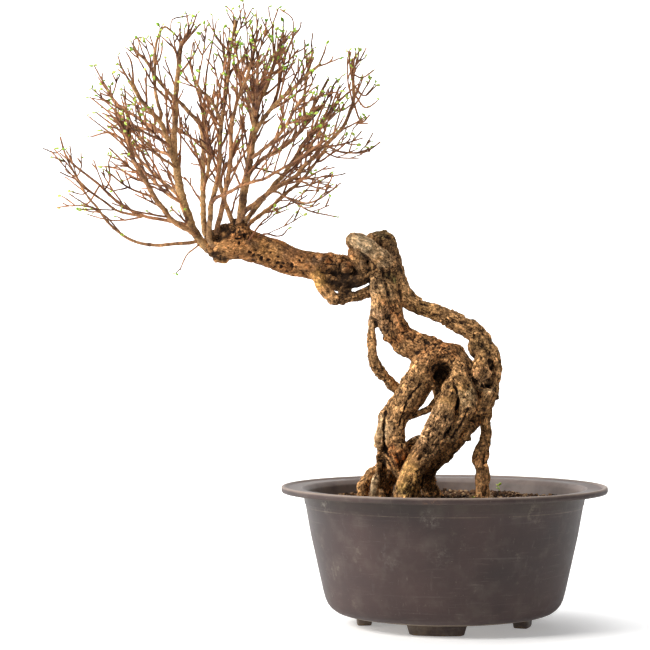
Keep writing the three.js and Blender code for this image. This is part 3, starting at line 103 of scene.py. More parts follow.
# Corners and faces of a grain
CRUMB = np.array([
    (0, 0, -1), (0.72, -0.53, -0.45), (-0.28, -0.85, -0.45), (-0.89, 0, -0.45), (-0.28, 0.85, -0.45),
    (0.72, 0.53, -0.45), (0.28, -0.85, 0.45), (-0.72, -0.53, 0.45), (-0.72, 0.53, 0.45),
    (0.28, 0.85, 0.45), (0.89, 0, 0.45), (0, 0, 1),
])
CRUMB_FACES = [
    (0, 1, 2), (1, 0, 5), (0, 2, 3), (0, 3, 4), (0, 4, 5), (1, 5, 10), (2, 1, 6), (3, 2, 7), (4, 3, 8),
    (5, 4, 9),
    (1, 10, 6), (2, 6, 7), (3, 7, 8), (4, 8, 9), (5, 9, 10), (6, 10, 11), (7, 6, 11), (8, 7, 11),
    (9, 8, 11),
    (10, 9, 11),
]
# Tuft of small leaves at the foot of the right leg
TUFT = {"middle": (26, -7), "spread": 1.0, "leaves": 16}
# Foot of the seedling
SEEDLING = (55, 98)

# Trunk and roots
VOXEL = 1.12
STRAND_STEP = 2.5
STRAND_SIDES = 20
# Strands with a larger radius carry fibres
FIBRES_FROM = 5.6
FIBRE_COUNT = 5

# Crown
CROWN_ROOT = np.array([-186, 0, 330])
CROWN_DEPTH = 112
CROWN_MIDDLE = (-191, 335)
# Share of a limb's length where its twigs begin
TWIG_FIRST = 0.3
# Headings tried for each shoot
SHOOT_TRIES = 8
# The sprouts on the trunk, below this height, open more of their buds
SPROUTS_BELOW = 358
# Room between twigs counts most from side to side and upwards
DEPTH_COUNTS = np.array([1, 0.45, 1])
TWIG_SPACING = 10.5
TWIG_LENGTH = (62, 38)
# Limbs with fewer twigs than the others
SPARSE = {"left_reach_high": 0.55, "left_reach_middle": 0.5, "left_reach_low": 0.45}
TWIG_RADIUS = 1.15
TWIG_TIP = 0.6
SPRIG_LENGTH = (7, 17)
SPRIG_RADIUS = 0.75
LEAF_LENGTH = (2.8, 5.0)
# Leaf blade: share of its length and of its width
LEAF_FORM = ((0.28, 0.85), (0.6, 1.0), (0.85, 0.55))
# Chance that a bud which has not opened is seen at all
CLOSED_BUDS = 0.7
# No twig of the crown ends below this height
CROWN_LOWEST = 350
# Where the random draws of each kind of part begin
SEEDS = {"limb": 300, "twig": 1000, "sprig": 5000, "buds": 9000}
# Outline of the crown from the front: turn in degrees from the right, and reach
CROWN_EDGE = np.array([
    (0, 50), (8, 99), (19, 105), (30, 150), (38, 164), (44, 184), (53, 201), (58, 182), (66, 190),
    (71, 189), (76, 201), (85, 199), (90, 189), (98, 191), (106, 187), (114, 183), (121, 177), (127, 180),
    (134, 162), (140, 153), (144, 142), (149, 163), (154, 169), (165, 150), (172, 140), (180, 60),
], float)

# Strands of the trunk and the roots: x, y, z and radius of each point
WOOD = {
    "burl_crest": [
        (-197, -3, 330.5, 5), (-190, -2, 334, 7.5), (-183, -1, 339, 7.5), (-175.5, 0, 342.5, 7),
        (-170.5, 0, 343.5, 3.5),
    ],
    "burl_front": [
        (-185.5, -6, 333, 4.5), (-180.5, -8, 337.5, 5.5), (-174.5, -9, 338.5, 6),
        (-168.5, -8, 336.5, 4.5),
    ],
    "burl_back": [
        (-187, 8, 332.5, 5), (-182, 11, 336, 7), (-175, 12, 336, 7.5), (-168, 12, 333, 6),
        (-162, 9, 328.5, 4.5),
    ],
    "trunk": [
        (-205, 0, 321.5, 4.5), (-201.5, 0, 323, 8.5), (-195.5, 0, 324.5, 11.5),
        (-186.5, 0, 327, 14), (-177.5, 0, 328, 14.5), (-161, 0, 323.5, 12.5),
        (-137.5, 0, 315, 11.5), (-124, 0, 310.5, 11.5), (-112.5, 0, 308.5, 12),
        (-104, 0, 308.5, 11), (-93, 2, 309, 11), (-81, 2, 310, 9), (-69, 2, 312, 7.5),
        (-56.5, 2, 312, 6),
    ],
    "lower_limb": [
        (-112.5, 0, 301.5, 5.5), (-101.5, -2, 299, 7.5), (-93, -3, 295.5, 8),
        (-84.5, -4, 295, 7.5), (-76, -5, 297, 7), (-68, -5, 301, 7), (-60.5, -4, 305.5, 6),
    ],
    "handle": [
        (-114.5, -4, 304.5, 5), (-108.5, -8, 298.5, 5), (-105, -10, 291.5, 5),
        (-100.5, -11, 285, 5), (-94.5, -11, 279.5, 4.5), (-88, -11, 279.5, 4.5),
        (-79.5, -10, 281.5, 4.5), (-70.5, -8, 284, 4.5), (-63, -4, 287.5, 4.5), (-56, 0, 293, 4.5),
    ],
    "front_lobe": [
        (-83.5, -9, 328.5, 2.5), (-81.5, -10, 328.5, 6), (-77.5, -11, 328.5, 8),
        (-71.5, -12, 327, 8.5), (-63, -12, 321.5, 7.5), (-54.5, -10, 315, 8),
        (-48.5, -6, 310.5, 7.5), (-44, -3, 306.5, 4.5),
    ],
    "rear_arch": [
        (-72, 6, 320.5, 4.5), (-66, 8, 325.5, 6.5), (-59, 10, 329.5, 7.5), (-53, 10, 331.5, 7.5),
        (-48, 10, 331, 6.5), (-45, 10, 330, 3.5),
    ],
    "rear_side": [
        (-54, 10, 337, 2.5), (-51.5, 10, 334.5, 6), (-48.5, 10, 329.5, 8), (-46, 9, 321.5, 7.5),
        (-43.5, 8, 312, 7.5), (-42, 7, 305, 6),
    ],
    "stub_lobe": [
        (-78.5, -4, 325.5, 4.5), (-77, -3, 321, 5.5), (-74.5, -2, 315, 5.5), (-73, -1, 308, 5.5),
    ],
    "big_root": [
        (-45.5, 8, 313.5, 7.5), (-41, 6, 300.5, 7.5), (-36, 4, 288.5, 7.5), (-30, 3, 279, 7.5),
        (-20.5, 2, 273, 7), (-6, 2, 268.5, 6.5), (9.5, 2, 261.5, 7.5), (22.5, 2, 254, 7.5),
        (31, 2, 246.5, 8), (35.5, 2, 237.5, 8), (39.5, 1, 229, 7.5), (41.5, 1, 222, 6),
    ],
    "outer_root": [
        (40.5, 0, 237.5, 5.5), (42.5, -1, 231, 5.5), (44.5, -2, 224, 5), (45, -2, 215.5, 4.5),
        (44, -2, 206, 4), (42, -2, 196.5, 4), (38.5, 0, 188, 4.5), (36, 1, 182.5, 4.5),
    ],
    "knob": [
        (34, -6, 232.5, 5), (31.5, -8, 225, 6.5), (29.5, -8, 219, 7), (28.5, -7, 213, 6.5),
        (30.5, -4, 205, 4.5), (34.5, -1, 197.5, 4.5), (36, 0, 189.5, 4.5),
    ],
    "right_leg": [
        (37, 2, 191, 4.5), (36, 2, 182.5, 4.5), (36, 1, 175.5, 4.5), (36.5, 0, 169, 4.5),
        (36, 0, 161, 4.5), (34, 0, 152.5, 5), (31.5, 0, 145, 6), (30.5, 0, 139, 6),
        (32.5, 0, 133.5, 5.5), (33, 0, 126.5, 5.5), (33, 0, 118, 5.5), (33, 0, 107, 6),
        (33.5, 0, 94, 5), (34.5, 0, 83, 3.5),
    ],
    "outer_back": [
        (38, 3, 234, 6), (38.5, 4, 224, 6.5), (38.5, 5, 213.5, 6.5), (38, 5, 203, 5.5),
        (37, 5, 193, 4.5),
    ],
    "middle_back": [
        (15.5, 2, 224, 7), (24, 8, 215, 7), (26.5, 10, 203, 8), (25.5, 11, 191, 8),
        (21.5, 11, 178.5, 8), (17, 11, 168.5, 7.5),
    ],
    "front_strand": [
        (-61.5, -8, 311.5, 5), (-59.5, -9, 298.5, 5.5), (-58, -10, 287.5, 6.5), (-56, -10, 279, 7),
        (-55.5, -8, 268.5, 7.5), (-52, -5, 258.5, 7.5),
    ],
    "main_limb": [
        (-56, 4, 315.5, 7.5), (-51.5, 3, 303, 10), (-49, 2, 289.5, 11), (-48, 1, 275.5, 11.5),
        (-45.5, 0, 263.5, 11.5), (-42, -1, 254, 11.5), (-35.5, -1, 246, 11), (-26, -2, 240, 11),
        (-15, -3, 236, 10.5), (-3.5, -4, 232.5, 11), (6.5, -5, 229.5, 11.5), (13, -7, 222.5, 10.5),
        (13, -9, 214, 9), (9.5, -11, 205.5, 7.5),
    ],
    "left_leg": [
        (-7, -6, 234.5, 9.5), (-17.5, -9, 224, 11), (-23, -10, 212, 11), (-28, -10, 200, 11),
        (-35, -10, 189, 10.5), (-41, -10, 179.5, 10), (-42.5, -10, 169.5, 9), (-41.5, -10, 159, 9),
        (-40.5, -10, 150.5, 7.5), (-41, -10, 143, 5), (-41.5, -10, 137, 2.5),
    ],
    "left_leg_back": [
        (-8.5, 6, 220.5, 7), (-16, 4, 206, 7.5), (-25, 2, 193, 7.5), (-32.5, 0, 181, 6),
    ],
    "arch_back": [
        (-14.5, 8, 234, 8.5), (-6, 14, 222, 10.5), (-1.5, 16, 210, 11), (0, 15, 197.5, 9),
        (1.5, 13, 186.5, 7.5), (3, 11, 176, 7.5), (3, 9, 165, 7),
    ],
    "front_diagonal": [
        (10.5, -10, 212, 7), (5.5, -13, 203.5, 7), (2.5, -15, 195, 7.5), (-1, -16, 185, 9),
        (-8, -17, 169, 9.5), (-14.5, -18, 157, 9.5), (-20.5, -19, 145, 10), (-26, -20, 134, 11),
        (-29, -20, 124, 11.5), (-31.5, -20, 113, 11.5), (-34.5, -20, 100, 10.5),
        (-37, -20, 86.5, 7),
    ],
    "light_strand": [
        (12, -14, 217.5, 7.5), (15.5, -16, 207, 7.5), (18.5, -16, 199.5, 8), (19, -15, 192, 7.5),
        (16.5, -13, 182.5, 6.5), (12, -11, 173, 5.5), (8, -8, 164, 4.5), (3, -4, 157, 4.5),
    ],
    "rear_diagonal": [
        (39, 5, 194.5, 4.5), (36, 8, 188.5, 5.5), (31.5, 10, 182, 7), (25, 11, 174.5, 7.5),
        (17, 11, 166, 8.5), (8.5, 11, 157, 9), (-0.5, 11, 147.5, 8.8), (-9.5, 12, 138, 8),
        (-15.5, 14, 128.5, 7.5), (-13, 15, 119.5, 6.5), (-9, 15, 109, 7), (-5.5, 15, 96, 7),
        (-2, 15, 85, 4.5),
    ],
    "thin_loop": [
        (-56, -4, 286.5, 3), (-58, -6, 280, 3), (-60.5, -7, 273, 3.5), (-62, -7, 263.5, 3.5),
        (-62.5, -6, 252.5, 4), (-62, -5, 240.5, 4), (-60.5, -3, 229, 4.5), (-57, 0, 220.5, 4.5),
        (-50.5, 4, 212, 4.5), (-43, 7, 205, 4.5), (-34, 8, 202, 4.5), (-25.5, 6, 199.5, 4.5),
    ],
    "side_root": [
        (-34.5, -6, 200, 3.5), (-41.5, -8, 195, 3.5), (-47.5, -9, 187.5, 3.5),
        (-52, -9, 180.5, 3.5), (-54, -9, 172.5, 3.5), (-55, -9, 164, 3.5), (-55.5, -9, 154.5, 3.5),
        (-54.5, -9, 148.5, 3.5), (-51, -9, 142.5, 3.5), (-47, -11, 137, 3), (-41.5, -13, 131, 3),
        (-36, -15, 127, 3),
    ],
    "left_foot_root": [
        (-54.5, -10, 150.5, 3), (-56.5, -10, 143.5, 2.5), (-56, -9, 136, 3), (-58, -8, 127.5, 3),
        (-59.5, -8, 119.5, 3.5), (-60, -8, 110, 3.5), (-60, -8, 97.5, 3.5), (-59.5, -8, 88.5, 2.5),
    ],
    "bridge_root": [
        (-0.5, -9, 203.5, 3), (-4, -9, 199.5, 3), (-7.5, -8, 193, 3), (-12.5, -7, 186.5, 3),
        (-20, -7, 182, 3), (-28, -7, 179.5, 3), (-35.5, -8, 177, 3),
    ],
    "back_left_root": [
        (-43.5, 5, 132.5, 4), (-51.5, 9, 135.5, 4), (-58, 12, 132, 4), (-64.5, 12, 126, 4.5),
        (-68, 12, 119, 4.5), (-70.5, 12, 109.5, 4.5), (-71.5, 12, 96.5, 4.5), (-73, 12, 87, 3),
    ],
    "back_foot": [
        (-39, -5, 153.5, 5), (-38.5, 0, 141.5, 5.5), (-43, 5, 130, 6), (-49, 8, 119, 6),
        (-51.5, 8, 109, 6), (-52.5, 8, 96, 5), (-52.5, 8, 85.5, 3.5),
    ],
    "cut_stub": [
        (22.5, 3, 172, 2.5), (20.5, -2, 168, 2.5), (19, -6, 164, 2.5), (17, -9, 159.5, 2),
    ],
}

# Small wood the photo shows in and between the roots
WEBS = {
    "crotch_web": [
        (13, -4, 207, 5), (11, -3, 195, 6.5), (9, -3, 184, 7), (6, -3, 172, 6.5), (3, -3, 161, 5),
    ],
    "left_web": [(-47, -7, 163, 4.5), (-49, -7, 151, 5), (-46, -8, 139, 4)],
    "foot_web": [(-54, -5, 139, 3.5), (-54, -4, 130, 4), (-55, -3, 119, 4)],
    "leg_web": [(-35, 2, 154, 4), (-32, 2, 147, 6), (-33, 2, 139, 6)],
    "gap_web": [(-26.6, 2, 157.6, 4), (-27.5, 2, 153.3, 4.5), (-30.1, 0, 148.2, 4.5)],
    "torn_left": [
        (-44.4, -16, 152.6, 4), (-43.1, -17, 146.6, 3), (-41.4, -17, 140.7, 1.8),
        (-40.5, -16, 136.4, 0.9),
    ],
    "torn_middle": [(-41, -17, 154.3, 5), (-38.5, -18, 147.6, 4), (-37.2, -18, 143.3, 2)],
    "torn_right": [
        (-36.6, -14, 155.9, 4.5), (-34.6, -16, 150, 3.5), (-31.6, -16, 145.7, 1.8), (-29, -15, 144.4, 1),
    ],
    "split_root": [
        (-49.4, -14, 149, 2.6), (-46.1, -15, 143.1, 2.8), (-42.7, -16, 135.5, 2.8),
        (-40.1, -14, 128.5, 2.4),
    ],
    "step_root": [(-36, -8, 154, 2.2), (-29, -9, 157, 2.2), (-21, -12, 163, 2.2)],
    "knob_head": [(32, -9, 225, 5), (31, -11, 219, 7.5), (28, -11, 212, 6.5)],
    "knob_foot": [(38, -8, 203, 3.5), (34, -9, 194, 5.5), (28, -6, 184, 4.5)],
    "bend_swelling": [(27, -1, 245, 5), (27, -1, 238, 6.5), (33, -1, 230, 6)],
    "under_spur": [(17, 8, 168, 4), (20, 6, 162, 3), (22, 4, 158, 2.5)],
    "side_thorn": [(42, 0, 198, 1.8), (46, -1, 195, 1.3), (48.5, -2, 193.5, 0.9)],
    "back_thorn": [(44, 2, 222, 1.8), (49, 1, 219.5, 1)],
    "hollow_root": [(-17, -16, 219, 1.4), (-14, -16, 212, 1.3), (-10, -12, 205, 1.3), (-6, -5, 199, 1.5)],
    "hollow_thread": [(-12, -10, 211, 0.9), (-7, -8, 208, 0.9), (-2, -4, 202, 1)],
    "burl_skirt": [
        (-200.1, -8, 320.9, 4), (-195.7, -10, 323.4, 4.5), (-190.6, -10, 325.1, 5),
        (-184.6, -9, 325.2, 5), (-179.6, -7, 324.4, 4),
    ],
    "burl_tip": [
        (-200.3, -4, 320.2, 3), (-197.8, -3, 315.9, 3.2), (-193.5, -2, 314.2, 3.2),
        (-186.6, -2, 313.4, 2.8),
    ],
    "handle_touch": [(-89.5, -7, 287.5, 3), (-85.3, -8, 286.2, 3.2), (-80.1, -8, 286.6, 3)],
    "stub_head": [
        (-79.3, -11, 323.4, 4.5), (-76.8, -12, 318.2, 5.5), (-73.3, -12, 311.4, 6),
        (-70.7, -11, 305.4, 4.5),
    ],
    "stub_ball": [(-81, -11, 306.3, 5.5), (-86.1, -10, 307.1, 5)],
}
STRANDS = {**WOOD, **WEBS}
# How far apart the strands lie in the pattern of the bark, so that no two look alike
STRAND_SHIFT = 31.0

# Hollows seen between the roots: x, z, half width, half height, depth
DENTS = [(-4, 217, 10, 10, 8), (35, 205, 5, 1.8, 2.5)]
# Seams between roots that lie against each other, sunk and darkened as painted shade: half width, depth,
# then x and z along them
SEAMS = [
    (1.0, 1.6, [(-50.3, 184.1), (-52, 172.1), (-52, 157.6), (-48.6, 145.7)]),
    (1.8, 2.6, [(5, 171.4), (-1, 161.2), (-5.2, 151), (-10, 139), (-18.5, 127), (-19.5, 116)]),
    (1.0, 1.6, [(-39.2, 172.1), (-32.4, 193.4), (-21.3, 208)]),
    (0.9, 1.4, [(19.5, 186.8), (13.5, 173.1), (5.8, 161.2)]),
]
# Bark that has stayed smooth: middle and reach
BARE = [
    ((33, 0, 124), 13), ((-33, -28, 140), 9), ((-40, -30, 125), 8), ((0, -20, 190), 8),
    ((-72, -16, 326), 12), ((-60, -14, 316), 10), ((-108, -8, 296), 10), ((-100, -11, 285), 9),
    ((-54, -9, 167), 12), ((-58, -8, 116), 9),
]

# Insect pits on the front of the trunk: x, z, half width, half height, depth
PITS = [
    (-178, 331.5, 1.1, 0.8, 1.8), (-176, 327.5, 0.9, 1.2, 1.7), (-166.5, 319.5, 1.6, 1.1, 2.4),
    (-163, 317.5, 1.3, 1.4, 2.2), (-159, 317, 2.0, 1.0, 2.4), (-157, 314.5, 1.2, 1.2, 2.0),
    (-151, 313.5, 1.5, 0.8, 1.8), (-143, 310.5, 1.3, 1.0, 2.0), (-140, 307.5, 1.4, 0.9, 2.0),
    (-137.5, 310, 0.9, 1.2, 1.6), (-130.5, 308.5, 1.0, 3.0, 2.8), (-181, 328, 0.8, 0.7, 1.2),
    (-135, 304, 1.1, 0.8, 1.6), (-146, 307, 0.9, 0.7, 1.4),
]
# Knot below the pits: x, z and radius
KNOT = (-122, 314, 2.6)

# Where the bark differs: middle, reach, strength
PATCHES = {
    "orange": [
        ((31, -4, 143), 9, 0.5), ((33, -6, 121), 9, 0.6), ((-36, -16, 146), 8, 0.7),
        ((-160, -12, 324), 34, 0.5), ((-120, -10, 311), 30, 0.5), ((-47, -8, 256), 22, 0.7),
        ((-12, -12, 240), 22, 0.5), ((8, -14, 236), 14, 0.3), ((32, -4, 122), 17, 0.3),
        ((-82, -12, 306), 6, 0.8),
        ((-28, -28, 150), 11, 0.4), ((-88, -12, 318), 9, 0.8), ((-74, -10, 316), 8, 0.8),
        ((-100, -10, 316), 7, 0.7), ((30, -14, 218), 7, 0.6), ((-42, -18, 145), 9, 0.9),
    ],
    "yellow": [
        ((-33, -28, 140), 11, 0.75), ((-40, -30, 125), 9, 0.7), ((0, -20, 190), 8, 0.5),
        ((32, -4, 122), 17, 0.7),
        ((-24, -30, 122), 15, 0.8), ((-150, -12, 322), 14, 0.4), ((-107, -12, 296), 9, 0.6),
        ((30, -12, 222), 9, 0.4), ((16, -22, 200), 12, 0.5), ((-58, -12, 250), 14, 0.3),
        ((-107, -14, 297), 8, 0.5), ((-20, -4, 270), 14, 0.3),
    ],
    "pale": [
        ((32, -4, 122), 18, 0.6), ((-8, -25, 165), 26, 0.35), ((33, -8, 212), 14, 0.25),
        ((-76, -18, 330), 12, 0.75), ((-64, -19, 322), 10, 0.65), ((-52, -14, 312), 9, 0.6),
        ((20, -20, 196), 11, 0.4), ((-60, -10, 116), 12, 0.7), ((-55, -12, 166), 14, 0.5),
        ((-58, -14, 290), 12, 0.3), ((36, -8, 205), 10, 0.4), ((-60, -8, 262), 16, 0.35),
    ],
    "umber": [
        ((-84, -8, 289), 17, 0.75), ((-64, -6, 295), 12, 0.6), ((-140, -6, 306), 16, 0.35),
        ((-160, -6, 314), 14, 0.3), ((-118, -4, 318), 12, 0.4),
    ],
    "grey": [
        ((-69, -14, 312), 8, 0.5),
        ((-163, -14, 329), 7, 0.8), ((-158, -14, 327), 5, 0.7), ((-111, -12, 310), 7, 0.9),
        ((-131, -10, 324), 9, 0.5), ((-148, -8, 331), 8, 0.5), ((-140, -10, 322), 8, 0.4),
        ((-60, 8, 330), 20, 0.5), ((-44, 6, 312), 14, 0.4),
    ],
    # Among the dark patches, the three around x -4 and z 217 are painted shade in the hollow of the arch.
    "dark": [
        ((-36, -12, 130), 7, 0.8), ((-16, -14, 122), 6, 0.8),
        ((-184, -8, 342), 12, 0.95), ((-192, -6, 336), 12, 0.95), ((-202, -8, 318), 9, 0.8),
        ((-174, -4, 347), 9, 0.9), ((-92, -10, 300), 14, 0.75), ((-76, -8, 304), 12, 0.75),
        ((-104, -8, 304), 7, 0.6), ((-3, 2, 222), 17, 0.9), ((3, 4, 205), 14, 0.75),
        ((-95, -10, 292), 5, 0.9), ((-86, -8, 290), 14, 0.75), ((-70, -6, 293), 12, 0.65),
        ((-4, 0, 217), 9, 0.95),
        ((-176, -4, 343), 8, 0.9), ((-190, -8, 312), 7, 0.8), ((-12, 0, 130), 16, 0.55),
        ((-46, -8, 122), 10, 0.5), ((-54, -14, 312), 3.5, 0.9),
        ((-74, -18, 333), 4, 0.5), ((-46, -12, 318), 5, 0.5), ((10, -2, 185), 9, 0.6),
    ],
    # Painted light: these patches brighten bark, most of all at the foot of the right leg, which the big
    # root shades from the key light.
    "painted_light": [((33, -2, 125), 26, 0.8), ((-10, -28, 168), 20, 0.35), ((34, -8, 212), 12, 0.3)],
    "moss": [
        ((-50, 8, 338), 13, 0.45), ((-46, -10, 300), 6, 0.9), ((-42, -10, 296), 5, 0.8),
        ((-34, -30, 118), 6, 0.4), ((-26, 0, 262), 9, 0.2), ((30, -6, 240), 10, 0.25),
    ],
}
# Colour of each kind of patch, as an 8-bit screen colour
BARK_COLORS = {
    "base": (172, 129, 84), "orange": (164, 98, 50), "yellow": (186, 142, 80),
    "umber": (84, 58, 36), "pale": (208, 182, 144), "grey": (104, 84, 66), "dark": (32, 22, 15),
    # The last colour is painted light, laid where bark lies in shadow.
    "moss": (90, 96, 50), "painted_light": (232, 168, 110),
}
TRUNK_COLOR = (180, 131, 82)

